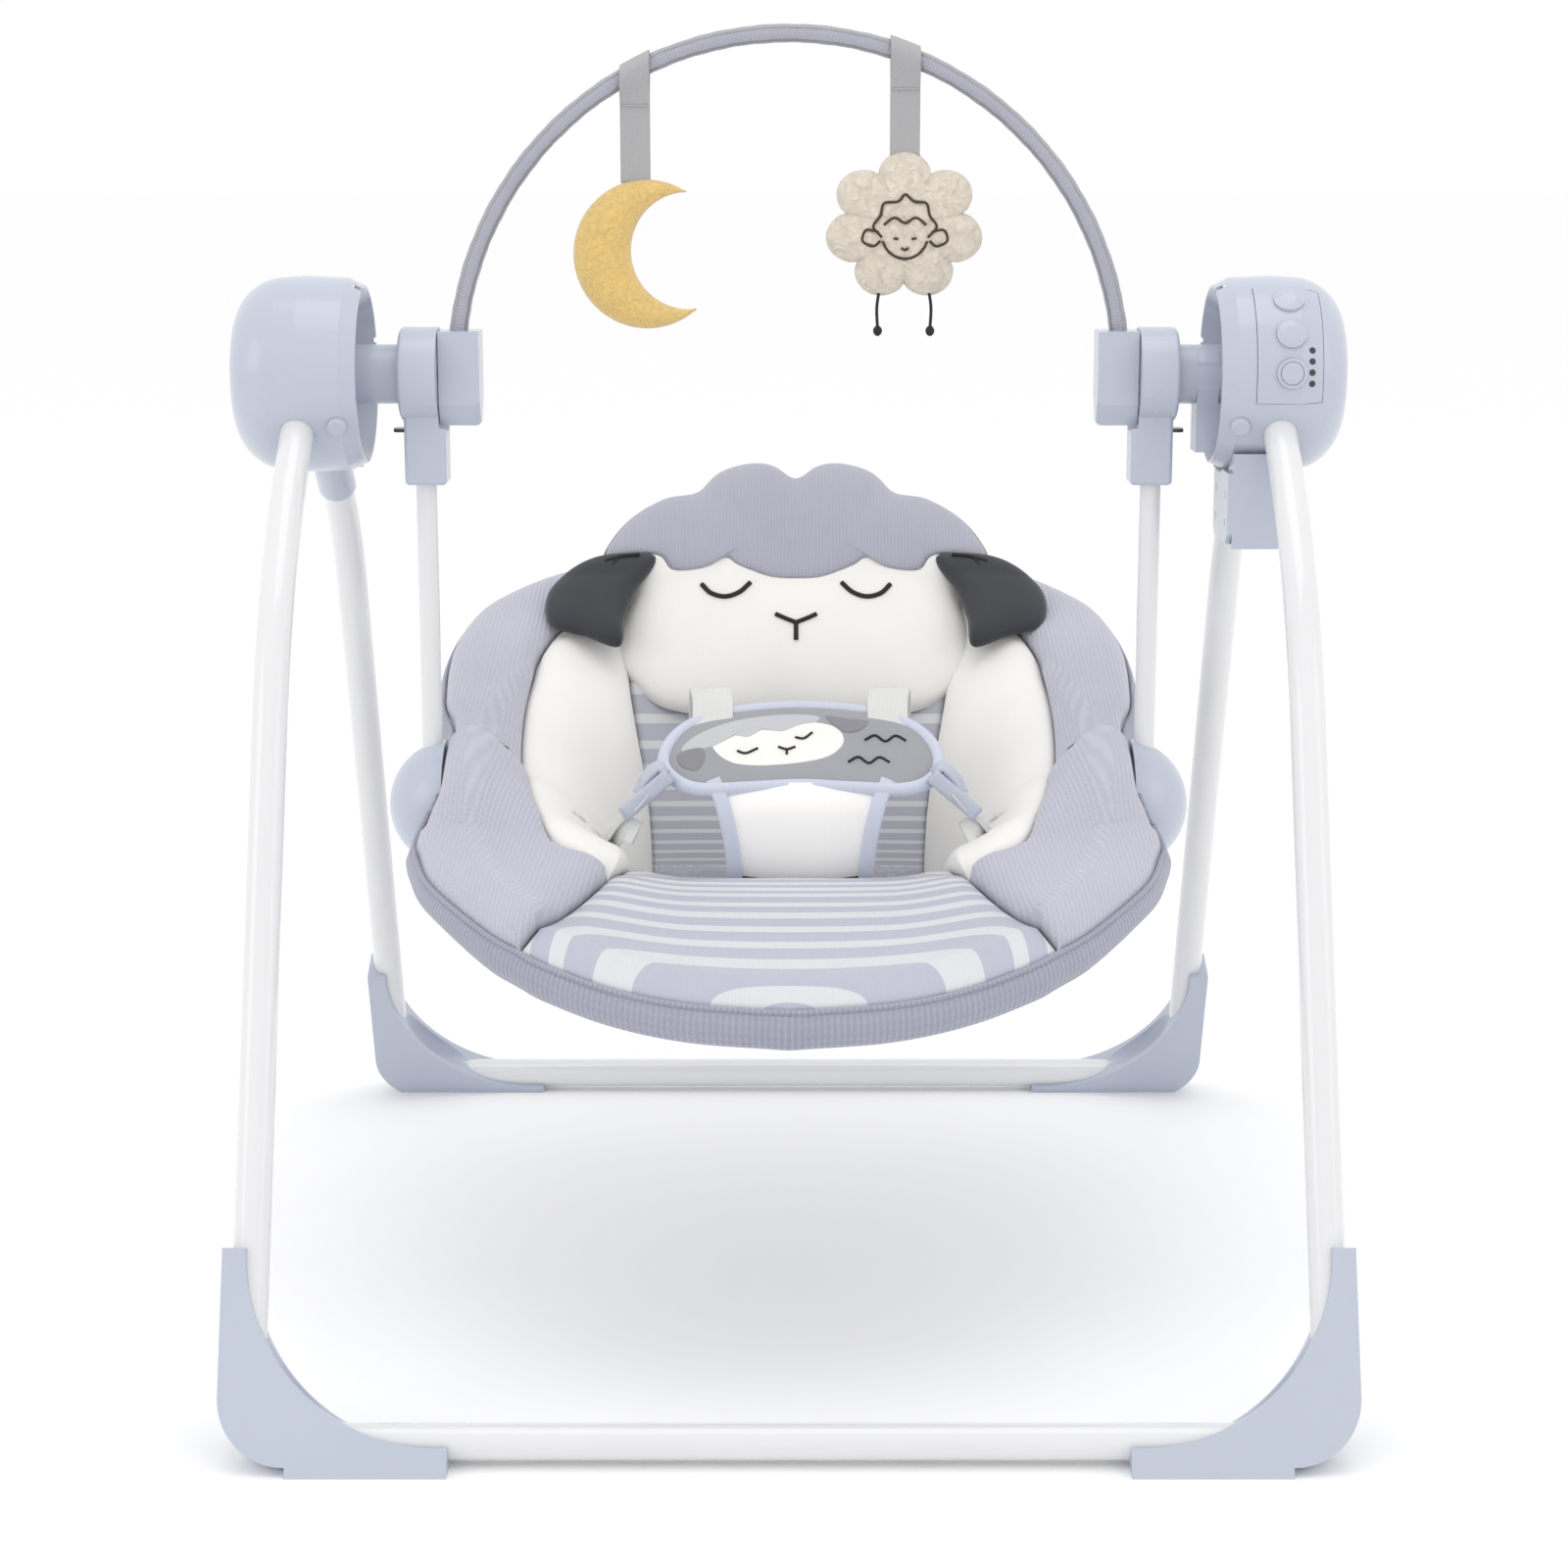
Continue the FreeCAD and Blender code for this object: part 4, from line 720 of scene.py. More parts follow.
# %% [markdown]
# The wings are one ribbed panel a side, from behind the pillow to the front. The leaf-shaped
# bolsters are smooth velour and a little fuller, as they hold the child's sides. Wing and
# bolster could be one sheet with two colours, but the real cover is sewn from two cloths, so
# each is a panel and they press on each other at the seam.

# %% Wings and bolsters
def loose(x, y):
    """Slow dents in loosely filled cloth: two crossed sine waves."""
    return 1.3 * np.sin(x / 17.0 + y / 41.0) * np.sin(y / 29.0) - 5.0 * ease((y - 120.0) / 50.0)


def shared(seam):
    """Where wing and bolster meet they draw each other down only half way: 0.5, and 1 at the
    ends, under the pillow and at the front of the thigh panel."""
    y = seam[:, 1:2]
    return 1.0 - 0.5 * ease((y + 62.0) / 20.0) * (1.0 - ease((y - 80.0) / 50.0))


wing = filled(SIDE_EDGE, WING_IN, 15.0, reach=26.0, hold=(1, shared(WING_IN), 1, 1), wave=loose)
leaf = filled(LEAF_OUT, LEAF_IN, 15.0, reach=44.0, hold=(shared(LEAF_OUT), 1, 1, 1), room=pillow_room)
head_rim = smooth_line(np.vstack([BACK_EDGE[::-1], mirrored(BACK_EDGE)[1:]]), 90)
head_seam = smooth_line([(-112, 196), (-60, 200), (0, 201), (60, 200), (112, 196)], 90)
head_band = filled(head_rim, head_seam, 8.0, across=12)
head_band["flip"] = True
wings = backed(piece("seat_wings", [hand(wing, -1), hand(wing, 1), head_band], LAVENDER, "seat"), 3.0)
bolsters = backed(piece("side_bolsters", [hand(leaf, -1), hand(leaf, 1)], CREAM, "seat"), 3.0)

# %% [markdown]
# The back and thigh panels are knitted in two tones. On the thigh panel the pale stripes are
# nested curves about the middle of the front edge, so its UV map runs outwards from there and
# one ramp of tones serves as the pattern. On the back they are level. Strips of cloth side by
# side could make the stripes, but a pattern on one panel follows its swell without gaps.


# %% Striped cloth
RAMP_LENGTH = 240.0                  # millimetres, where the pattern doesn't repeat


def striped(name, dark, light, edges, period=None):
    """Two-tone knit: a ramp over the UV's second coordinate, in metres, with edges in millimetres.
    With a period the pattern repeats; without one the ramp covers the whole panel."""
    mat, tree, shader = start(name, light, CLOTH_ROUGH, Sheen_Weight=0.3, Specular_IOR_Level=CLOTH_SHINE)
    place = node(tree, "UVMap", uv_map="stripe")
    split = node(tree, "SeparateXYZ")
    tree.links.new(place.outputs["UV"], split.inputs[0])
    span = (period or RAMP_LENGTH) * MM
    run = math_node(tree, "DIVIDE", split.outputs["Y"], span)
    if period:
        run = math_node(tree, "FRACT", run)
    ramp = tree.nodes.new("ShaderNodeValToRGB")
    ramp.color_ramp.interpolation = "CONSTANT"
    ramp.color_ramp.elements[0].color = (0, 0, 0, 1)
    ramp.color_ramp.elements.remove(ramp.color_ramp.elements[1])
    for k, edge in enumerate(edges):
        stop = ramp.color_ramp.elements.new(edge * MM / span)
        value = float((k + 1) % 2)
        stop.color = (value, value, value, 1)
    tree.links.new(run, ramp.inputs["Fac"])
    stripes = blend(tree, dark, light, ramp.outputs["Color"])
    cloth = node(tree, "UVMap", uv_map="UVMap")
    knit = use(tree, KNIT, cloth.outputs["UV"], Rib=0.0012, Stitch=0.0010)
    shadow = math_node(tree, "MULTIPLY", knit.outputs["Dark"], 0.35)
    shaded = blend(tree, stripes, (0.78, 0.78, 0.80), shadow, "MULTIPLY")
    tree.links.new(shaded, shader.inputs["Base Color"])
    bump(tree, shader, knit.outputs["Height"], 0.3, 0.0006)
    return mat


def add_stripe_map(obj, values):
    """A second UV map whose second coordinate is `values`, one for each vertex, in metres."""
    layer = obj.data.uv_layers.new(name="stripe")
    corner = np.empty(len(obj.data.loops), dtype=np.int32)
    obj.data.loops.foreach_get("vertex_index", corner)
    uv = np.stack([np.zeros(len(corner)), values[corner]], -1)
    layer.data.foreach_set("uv", uv.astype(np.float32).ravel())


THIGH_EDGES = (6, 19, 54, 77, 98, 109, 124, 133, 144.5, 153.5, 161.5, 167.5, 175.5, 180.5, 184.5, 189,
               193, 196.5, 200, 203)
THIGH_CLOTH = striped("thigh_stripes", (0.50, 0.505, 0.60), (0.70, 0.715, 0.735), THIGH_EDGES)
BACK_CLOTH = striped("back_stripes", (0.47, 0.475, 0.54), (0.68, 0.69, 0.71), (3.3, 6.7), period=10.0)
print("stripes:", THIGH_EDGES)

# %% [markdown]
# Both striped panels need one number at every point: how far out of the middle stripe the
# thigh panel is, and how high up the back is. The back's stripes widen as they climb, so their
# count grows as a logarithm of the height.

# %% Thigh panel and back panel
both_thigh = smooth_line(np.vstack([FRONT_EDGE, mirrored(FRONT_EDGE)[-2::-1]]), 120)
hump = smooth_line([(-104, -62), (-60, -54), (0, -51), (60, -54), (104, -62)], 120)
thigh = filled(both_thigh, hump, 7.0, across=60, reach=26.0, hold=(1, 0, 1, 1))
thigh_pad = piece("striped_thigh_pad", [thigh], THIGH_CLOTH, "seat")
middle_line = thigh["points"][len(both_thigh) // 2]
walked = np.concatenate([[0], np.linalg.norm(np.diff(middle_line, axis=0), axis=1).cumsum()])
inward = np.interp(thigh["points"][..., 1], middle_line[:, 1], walked)
aside = np.abs(thigh["points"][..., 0])
spread = 0.23 * aside + 0.0047 * aside ** 2
squareness = 2.0 + 3.2 * ease(inward / 130.0)
nested = (inward ** squareness + spread ** squareness) ** (1 / squareness)
add_stripe_map(thigh_pad, nested.ravel() * MM)
backed(thigh_pad, 3.0)

back = filled(LEAF_IN, mirrored(LEAF_IN), 5.0, across=60, reach=20.0, hold=(1, 1, 0, 0))
back_panel = piece("striped_back", [back], BACK_CLOTH, "seat")
level = back["points"][..., 2] + 0.2 * back["points"][..., 1]
spine = back["points"][:, 30]
order = np.argsort(level[:, 30])
climbed = np.concatenate([[0], np.linalg.norm(np.diff(spine, axis=0), axis=1).cumsum()])
below = np.interp(level, level[order, 30], climbed[order])
above = np.interp(-70.0, -spine[:, 1], climbed) - below
stripe_count = np.log1p(0.14 * np.maximum(above, -35.0) / 6.0) / 0.14
add_stripe_map(back_panel, (stripe_count * 10.0 * MM).ravel())
print("back stripes:", round(float(np.ptp(stripe_count)), 1))
backed(back_panel, 3.0)

# %% [markdown]
# The band hides the seat tubes: it wraps from the seam down round them, widest at the front.
# Under it a single shell of the same cloth hangs down to the hip well, so that the seat looks
# finished from behind and below. Both are one grid: rows round the rim, columns from the seam
# over the band and in to the middle of the underside. The underside could be left out, as it is
# hidden from the front, but a swing is also seen from behind.

# %% Band and underside
half_rim = np.vstack([BACK_EDGE, SIDE_EDGE[1:], FRONT_EDGE[1:]])
rim = np.vstack([half_rim, mirrored(half_rim)[-2:0:-1]])
rim = smooth_line(rim[::3], 300, closed=True)
rim_x, rim_y = rim[:, 0:1], rim[:, 1:2]
top = rim_height(rim_y) + lip_rise(rim_y) - 1.0
low = rim_height(rim_y) - 10.0 + 6.0 * ease((-rim_y - 60.0) / 70.0)
outward = rim / np.linalg.norm(rim, axis=1, keepdims=True)
fall = np.linspace(0, 1, 12)[None, :]
beside_hub = np.exp(-(rim_y / 41.0) ** 8) * (np.abs(rim_x) > 150)
band_out = 3.5 * np.sin(np.pi * fall) ** 0.8 * (1 - beside_hub)
band_x = rim_x + outward[:, 0:1] * band_out
band_y = rim_y + outward[:, 1:2] * band_out
band_z = top * (1 - fall) + low * fall
share = np.linspace(1, 0.03, 24)[None, 1:]
under_x, under_y = rim_x * share, rim_y * share
drop = (rim_height(rim_y) - low) * share ** 8 + 25.5 * (1 - share ** 8)
under_z = seat_height(under_x, under_y) + 4.0 - drop
sides = ((band_x, under_x), (band_y, under_y), (band_z, under_z))
shell_points = np.stack([np.hstack(pair) for pair in sides], -1)
run_round = np.broadcast_to(np.linspace(0, 1.35, len(rim))[:, None], shell_points.shape[:2])
shell_uv = np.stack([run_round, lay_out(shell_points)[..., 0]], -1)
shell_grid = {"points": shell_points.transpose(1, 0, 2)[::-1], "uv": shell_uv.transpose(1, 0, 2)[::-1],
              "wrap_cols": True, "caps": ("first",)}
shell = piece("seat_shell", [shell_grid], LIP, "seat")
backed(shell, 2.0)
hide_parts("seat_sling")
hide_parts("seat_pad")

# %% [markdown]
# A thin roll of the same cloth covers the seam along the front half of the band. A bevel on the
# band could round that edge, but on the real seat it is a piping of its own.

# %% Piping
edge_line = np.hstack([rim * 1.004, top + 1.6])
front_line = edge_line[(rim_y[:, 0] < -40)]
front_line = smooth_line(front_line[np.argsort(np.arctan2(front_line[:, 0], -front_line[:, 1]))][::3], 160)
piping = piece("seat_piping", [roll(front_line, 1.8, sides=8)], LIP, "seat")
print("piping runs over", len(front_line), "points")

# %% [markdown]
# ## Stuffed shapes
# A pillow, an ear or a soft toy starts as a flat outline. Rings shrink from that outline to a
# middle point, on the front and on the back, and each ring is lifted by half * sqrt(1 - k^p),
# with k from 0 in the middle to 1 at the seam. A higher p makes a fuller, flatter cushion.
# Sculpting could give each its own creases, but rings give a closed skin with a clean seam, and
# one function serves them all.


# %% Stuffed shape maker
def plane(middle, lean):
    """Middle, right, up and forward of a flat piece that leans back by `lean` degrees."""
    a = math.radians(lean)
    return (np.array(middle, float), np.array([1.0, 0, 0]), np.array([0, math.sin(a), math.cos(a)]),
            np.array([0, -math.cos(a), math.sin(a)]))


def at(place, x, t, n):
    """World points from a plane's own right, up and forward distances."""
    middle, right, up, forward = place
    return (middle + np.asarray(x)[..., None] * right + np.asarray(t)[..., None] * up
            + np.asarray(n)[..., None] * forward)


def stuffed(outline, place, front, back, power=2.6, middle=(0.0, 0.0), rings=16, base=None, count=120):
    """A closed cushion over an outline of (right, up) points.

    It rises by front, and by back behind, times sqrt(1 - k^power), where k runs from 0 at the
    middle to 1 at the outline. base(x, t) bends its mid-plane."""
    edge = smooth_line(outline, count, closed=True)
    k = np.r_[np.linspace(0.03, 1, rings) ** 0.8, np.linspace(1, 0.03, rings)[1:] ** 0.8][:, None]
    half = np.r_[np.full(rings, front), np.full(rings - 1, -back)][:, None]
    x = middle[0] + (edge[None, :, 0] - middle[0]) * k
    t = middle[1] + (edge[None, :, 1] - middle[1]) * k
    n = half * np.sqrt(np.maximum(0, 1 - k ** power))
    if base is not None:
        n = n + base(x, t)
    uv = np.stack(np.broadcast_arrays(x, t), -1) * MM
    return {"points": at(place, x, t, n), "uv": uv, "wrap_cols": True, "caps": ("first", "last")}


def both_sides(points):
    """A symmetric closed outline from its right half, listed from the bottom to the top."""
    half = np.asarray(points, float)
    inner = half[1:-1] if half[0, 0] == 0 and half[-1, 0] == 0 else half
    return np.vstack([half, inner[::-1] * np.array([-1.0, 1.0])])


def stitch(points, place, height, radius, lift=0.4, count=24):
    """A raised line of thread on a bent surface: height(x, t) is the surface it lies on."""
    line = smooth_line(points, count)
    n = height(line[:, 0], line[:, 1]) + lift
    return roll(at(place, line[:, 0], line[:, 1], n), radius, sides=8, up=place[3])


def closed_piece(name, parts, finish, body):
    """A piece without open edges, its faces turned outwards."""
    obj = piece(name, parts, finish, body)
    bm = bmesh.new()
    bm.from_mesh(obj.data)
    bmesh.ops.remove_doubles(bm, verts=bm.verts, dist=1e-6)
    bmesh.ops.recalc_face_normals(bm, faces=bm.faces)
    if bm.calc_volume(signed=True) < 0:
        bmesh.ops.reverse_faces(bm, faces=bm.faces)
    bm.to_mesh(obj.data)
    bm.free()
    return obj


print("stuffed shapes ready")

# %% [markdown]
# ## The head pillow
# The pillow is a sheep's head. One cushion has the outline of the whole head, with the cloud of
# hair along its top. The hair is a second layer of ribbed cloth sewn on it down to its scalloped
# edge, so it follows the cushion's own swell. The ears are cushions of their own. The hair could
# be a colour on the cushion, but it is a thick cloth of its own, and only a layer gives its edge
# a shadow.

# %% Pillow shapes
PILLOW = plane((5.0, 181.0, 378.0), 39.0)
HEAD = both_sides([(0, -94), (38, -94), (67, -91), (87, -85), (101, -72), (112, -55), (112, -32),
                   (106, -8), (113, 6), (124, 21), (120, 36), (107, 53), (88, 66), (66, 71), (51, 87),
                   (31, 94), (15, 92), (0, 82)])
FRINGE = both_sides([(0, -5), (15, -4), (28, 1), (38, 6), (45, 11), (56, 5), (69, 3), (80, 5),
                     (90, 16), (123, 20), (119, 35), (106, 52), (87, 65), (66, 70), (51, 86), (31, 93),
                     (15, 91), (0, 81)])
SWELL = 22.0
HAIR_LINE = 22.0                     # above this height the rim is hair cloth


def head_swell(x, t):
    """Height of the head's face: SWELL * sqrt(1 - k^2.6), k the share of the way to the outline."""
    edge = smooth_line(HEAD, 240, closed=True)
    angle = np.arctan2(edge[:, 1], edge[:, 0])
    order = np.argsort(angle)
    far = np.hypot(edge[:, 0], edge[:, 1])
    reach = np.interp(np.arctan2(t, x), angle[order], far[order], period=2 * np.pi)
    return SWELL * np.sqrt(np.maximum(0, 1 - np.clip(np.hypot(x, t) / reach, 0, 1) ** 2.6))


def ear_bend(x, t):
    """Mid-plane of an ear: on the head at its inner edge, forward over the bolster lower down."""
    return 15.0 - 5.0 * (np.abs(x) - 89.0) / 70.0 + 12.0 * np.clip(-t / 50.0, 0, 1)


def ear(side):
    """An ear: its inner edge lies on the head and it turns back as it goes out."""
    outline = [(89, 15), (113, 19), (133, 15), (149, 4), (158, -10), (159, -28), (152, -41), (134, -48),
               (111, -57), (108, -34), (101, -9)]
    outline = np.array(outline, float) * np.array([side, 1.0])
    return stuffed(outline, PILLOW, 8.0, 6.0, power=3.5, middle=(side * 126.0, -17.0), base=ear_bend)


def ear_face(x, t):
    """Height of the ear's front near its inner top corner, where the mark is sewn."""
    return ear_bend(x, t) + 5.6


print("head outline:", len(HEAD), "points; fringe:", len(FRINGE))

# %% [markdown]
# The hair sits on the head's swell, so both use the same height. The back of the pillow and the
# top of its rim are hair cloth too.

# %% Pillow pieces
head = closed_piece("head_pillow_face", [stuffed(HEAD, PILLOW, SWELL, 11.0, count=240, rings=22)],
                    CREAM, "seat")
fringe = closed_piece("head_pillow_hair", [stuffed(
    FRINGE, PILLOW, 3.0, 0.5, power=9.0, middle=(0.0, 42.0), base=head_swell, count=240, rings=22)],
    HAIR, "seat")
hair_back = closed_piece("head_pillow_back", [stuffed(
    HEAD * 0.985, PILLOW, 1.0, 13.0, count=200)], HAIR, "seat")
ears = closed_piece("head_pillow_ears", [ear(-1), ear(1)], CHARCOAL, "seat")
marks = []
for side in (-1, 1):
    for points, height, radius, count in (
            ([(29, -8), (36, -15), (45, -18), (54, -15), (60, -8)], head_swell, 1.6, 24),
            ([(122, 10), (112, 13), (100, 14)], ear_face, 1.2, 24),
            ([(114, 12), (117, 6), (117, 0)], ear_face, 1.2, 24),
            ([(13, -31), (7, -34), (0, -37)], head_swell, 1.5, 12)):
        marks.append(stitch(np.array(points) * (side, 1), PILLOW, height, radius, count=count))
marks.append(stitch([(0, -37), (0, -43), (0, -49)], PILLOW, head_swell, 1.5, count=10))
closed_piece("head_pillow_stitching", marks, THREAD, "seat")
head.data.materials.append(HAIR)
for polygon in head.data.polygons:
    rise = float(np.dot(np.array(polygon.center) / MM - PILLOW[0], PILLOW[2]))
    polygon.material_index = int(rise > HAIR_LINE)
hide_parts("head_pillow")
print("pillow marks:", len(marks))

# %% [markdown]
# ## The belly plate and its straps
# The plate is a thin padded bean with a rolled pale blue edge. Its picture is cut from cloth in
# layers: a sleeping sheep's face, its hair and ears, and two small waves. An image on the plate
# could show them, but cut-outs catch the light as sewn ones do.

# %% Belly plate
HARNESS_X = 7.0                      # the harness sits a little to the right of the middle
PLATE = plane((HARNESS_X, -5.0, 311.0), 56.0)
BEAN = [(0, 33), (28, 31), (50, 26), (68, 15), (78, 1), (81, -15), (75, -28), (60, -35), (31, -34), (0, -32),
        (-31, -34), (-58, -35), (-72, -28), (-80, -15), (-77, 2), (-67, 16), (-49, 26), (-27, 31)]


def plate_face(x, t):
    """The plate's front: 4 mm high, a little lower towards its ends."""
    return 4.0 - 1.5 * (x / 80.0) ** 2 - 1.0 * ((t + 2) / 33.0) ** 2


def layer(outline, middle, lift):
    """A thin cut-out sewn on the plate's face."""
    return stuffed(outline, PLATE, lift, 0.3, power=12.0, middle=middle, base=plate_face, rings=10, count=90)


plate = closed_piece("belly_plate_pad", [stuffed(BEAN, PLATE, 4.4, 4.0, power=8.0, middle=(0, -2))],
                     PLATE_CLOTH, "seat")
edge = smooth_line(BEAN, 200, closed=True)
binding = closed_piece("belly_plate_binding", [roll(
    at(PLATE, edge[:, 0], edge[:, 1], np.zeros(200)), 3.9, closed=True, sides=14, up=PLATE[3], flat=1.15)],
    BINDING, "seat")
face_cut = layer([(-59, -3), (-47, 5), (-29, 9), (-11, 15), (8, 18), (24, 13), (28, 0), (19, -12), (1, -18),
                  (-23, -21), (-44, -21), (-56, -14)], (-15, -2), 1.0)
hair_cut = layer([(-72, -8), (-64, 5), (-45, 16), (-23, 22), (0, 24), (14, 22), (12, 17), (2, 14), (-9, 8),
                  (-21, 10), (-31, 3), (-43, 5), (-53, -5)], (-30, 12), 1.3)
ear_cuts = [layer([(14, 22), (27, 20), (41, 18), (36, 9), (25, 8)], (27, 15), 1.5),
            layer([(-72, -9), (-58, -4), (-55, -14), (-60, -24), (-70, -20)], (-64, -14), 1.5)]
picture = [closed_piece("belly_plate_sheep_face", [face_cut], CREAM, "seat"),
           closed_piece("belly_plate_sheep_hair", [hair_cut], FOG, "seat"),
           closed_piece("belly_plate_sheep_ears", ear_cuts, SLATE, "seat")]
lines = [[(-37, -8), (-32, -10), (-25, -6)], [(-3, 3), (2, 2), (7, 7)], [(-13, -5), (-8, -7), (-3, -5)],
         [(-8, -7), (-8, -11)], [(38, 1), (44, 5), (50, 0), (56, 5), (62, 1)],
         [(28, -17), (34, -13), (40, -18), (46, -13), (52, -17)]]
sewn = [stitch(p, PLATE, plate_face, 0.75, lift=1.4, count=20) for p in lines]
closed_piece("belly_plate_stitching", sewn, THREAD, "seat")
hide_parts("belly_plate")
print("plate pieces:", 2 + len(picture), "and", len(sewn), "sewn lines")

# %% [markdown]
# Two loops of webbing come up from behind the plate and over its top edge. At each end a moulded
# clip joins it to the waist strap, which dives into the seat. A flat ribbon with Solidify could
# make a strap, but a full section can twist along its line and keeps its edges round.


# %% Straps and clips
def strap_along(points, width, thick=1.6, across=(1.0, 0.0, 0.0), count=60):
    """Webbing along a line: a flat section, width by thick, with rounded corners, whose width
    lies along `across`; corners come from raising cos and sin to a small power."""
    line = smooth_line(points, count)
    tangent = np.gradient(line, axis=0)
    tangent /= np.linalg.norm(tangent, axis=1, keepdims=True)
    wide = np.array(across, float) - (tangent @ np.array(across, float))[:, None] * tangent
    wide /= np.linalg.norm(wide, axis=1, keepdims=True)
    deep = np.cross(wide, tangent)
    a = np.linspace(0, 2 * np.pi, 20, endpoint=False)
    c, s = (np.sign(f(a)) * np.abs(f(a)) ** 0.45 for f in (np.cos, np.sin))
    points = (line[:, None] + wide[:, None] * (c * width / 2)[None, :, None]
              + deep[:, None] * (s * thick / 2)[None, :, None])
    run = np.r_[0, np.linalg.norm(np.diff(line, axis=0), axis=1).cumsum()] * MM
    uv = np.stack(np.broadcast_arrays((c * width / 2 * MM)[None, :], run[:, None]), -1)
    return {"points": points, "uv": uv, "wrap_cols": True, "caps": ("first", "last")}


loops, waist, clips = [], [], []
for side in (-1, 1):
    x = HARNESS_X + side * 52.0
    loops.append(strap_along([(x, 4, 318), (x, 18, 333), (x + side * 2, 33, 339), (x + side * 3, 44, 328),
                              (x + side * 3, 50, 305), (x + side * 2, 56, 280)], 24.0))
    x = HARNESS_X + side * 92.0
    waist.append(strap_along([(x - side * 6, -30, 290), (x + side * 3, -27, 279),
                              (x + side * 13, -22, 268), (x + side * 22, -14, 256),
                              (x + side * 30, -6, 246)], 24.0, across=(0.3 * side, 0.8, -0.5)))
    waist.append(strap_along([(x + side * 3, -37, 266), (x + side * 11, -33, 268), (x + side * 19, -22, 258),
                              (x + side * 27, -12, 247)], 15.0, across=(0.2 * side, 0.5, 0.9), count=40))
    clips.append(strap_along([(x - side * 16, -33, 300), (x + side * 11, -35, 277)], 9.0, 9.0,
                             across=(0, 1, 0), count=14))
    clips.append(strap_along([(x - side * 15, -27, 300), (x - side * 9, -25, 303), (x - side * 1, -26, 296),
                              (x + side * 3, -28, 288)], 12.0, 3.5, across=(0.2 * side, 1, 0.3), count=24))
harness = closed_piece("waist_webbing", waist + loops, WEBBING, "seat")
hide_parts("waist_straps")
clip_pieces = closed_piece("waist_clips", clips, PLASTIC, "seat")
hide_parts("harness_clips")
print("straps:", len(waist) + len(loops), "clips:", len(clips))

# %% [markdown]
# The crotch panel hangs from the plate and widens towards its top. It crowns 5 mm forward
# between two bound edges, and goes into a slot in the seat, whose dark is a painted shadow: a
# flat black roll across its foot. A flat sheet would do for its outline, but the crown and the
# bindings are what show that it is padded.

# %% Crotch panel
drop_line = smooth_line([(-30, 296), (-38, 280), (-37, 256), (-29, 234), (-20, 218)], 36)
sideways = np.linspace(-1, 1, 30)[None, :]
way_down = np.linspace(0, 1, 36)[:, None]
half_width = 37.5 + 13.0 * (1 - way_down) ** 3
panel_x = HARNESS_X + sideways * half_width
panel_y = drop_line[:, 0:1] - 5.0 * (1 - sideways ** 2)
panel_z = drop_line[:, 1:2] + 0 * sideways
panel_grid = {"points": np.stack([panel_x, panel_y, panel_z], -1)}
crotch = backed(piece("crotch_panel", [panel_grid], VELOUR, "seat"), 5.0)
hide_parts("crotch_strap")
edging = []
for side in (-1, 1):
    x = HARNESS_X + side * (half_width[:, 0] + 0.5)
    edging.append(strap_along(np.stack([x, drop_line[:, 0] - 0.5, drop_line[:, 1]], -1)[::5], 9.0, 7.0,
                              across=(1, 0, 0), count=50))
crotch_edging = closed_piece("crotch_panel_edging", edging, BINDING, "seat")
# Painted shadow of the slot: a flat roll of black cloth where the panel goes into the seat.
slot_shadow_line = np.linspace((-33, -32, 238.5), (47, -32, 238.5), 12)
crotch_slot_shadow = closed_piece("crotch_slot_shadow", [roll(slot_shadow_line, 2.2, flat=0.5, sides=10)], THREAD, "seat")
print("crotch panel is", round(2 * float(half_width.max())), "mm wide at its top")

# %% [markdown]
# ## Toys on the bar
# The bar is a spring wire in a cloth sleeve with a sewn edge. Its two toys hang on ribbons that
# loop over it. The moon's outline is one circle less another, so its section is worked out
# along rays from the big circle's middle: from the bite to the outside, as a flattened oval.

# %% Sleeve
BAR_AXIS_Z, BAR_R = 529.0, 191.0
BAR_HALF = 5.0                       # half the thickness of the bar
bar_foot = math.asin(16.0 / BAR_R)
bar_angle = np.linspace(bar_foot, math.pi - bar_foot, 160)


def bar_line(radius):
    """Half a circle round the swing axis."""
    return np.stack([radius * np.cos(bar_angle), 0 * bar_angle, BAR_AXIS_Z + radius * np.sin(bar_angle)], -1)


def bar_top(x):
    """Height of the bar's middle line over x."""
    return BAR_AXIS_Z + math.sqrt(BAR_R ** 2 - x ** 2)


facing = (0.0, -1.0, 0.0)
ripple = 5.2 + 0.12 * np.sin(np.arange(160) * 1.9) + 0.1 * np.sin(np.arange(160) * 0.7)
sleeve = closed_piece("toy_bar_sleeve", [roll(bar_line(BAR_R), ripple, sides=16, up=facing)],
                      SLEEVE, "toy_bar")
outer_seam = bar_line(BAR_R + 3.4) + np.array([0, -3.9, 0])
inner_seam = bar_line(BAR_R - 3.9) + np.array([0, -3.4, 0])
sleeve_edges = closed_piece("toy_bar_edges", [roll(outer_seam, 0.9, sides=8, up=facing),
                                              roll(inner_seam, 0.7, sides=8, up=facing, slot=1)],
                            [RIBBON, SLATE], "toy_bar")
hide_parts("toy_bar_arch")
print("bar's line is", round(float(bar_top(0.0))), "mm up")

# %% [markdown]
# A ribbon is one strap whose line goes up, over the bar and down the other side. It could end at
# the bar, but the loop shows from above and from behind.

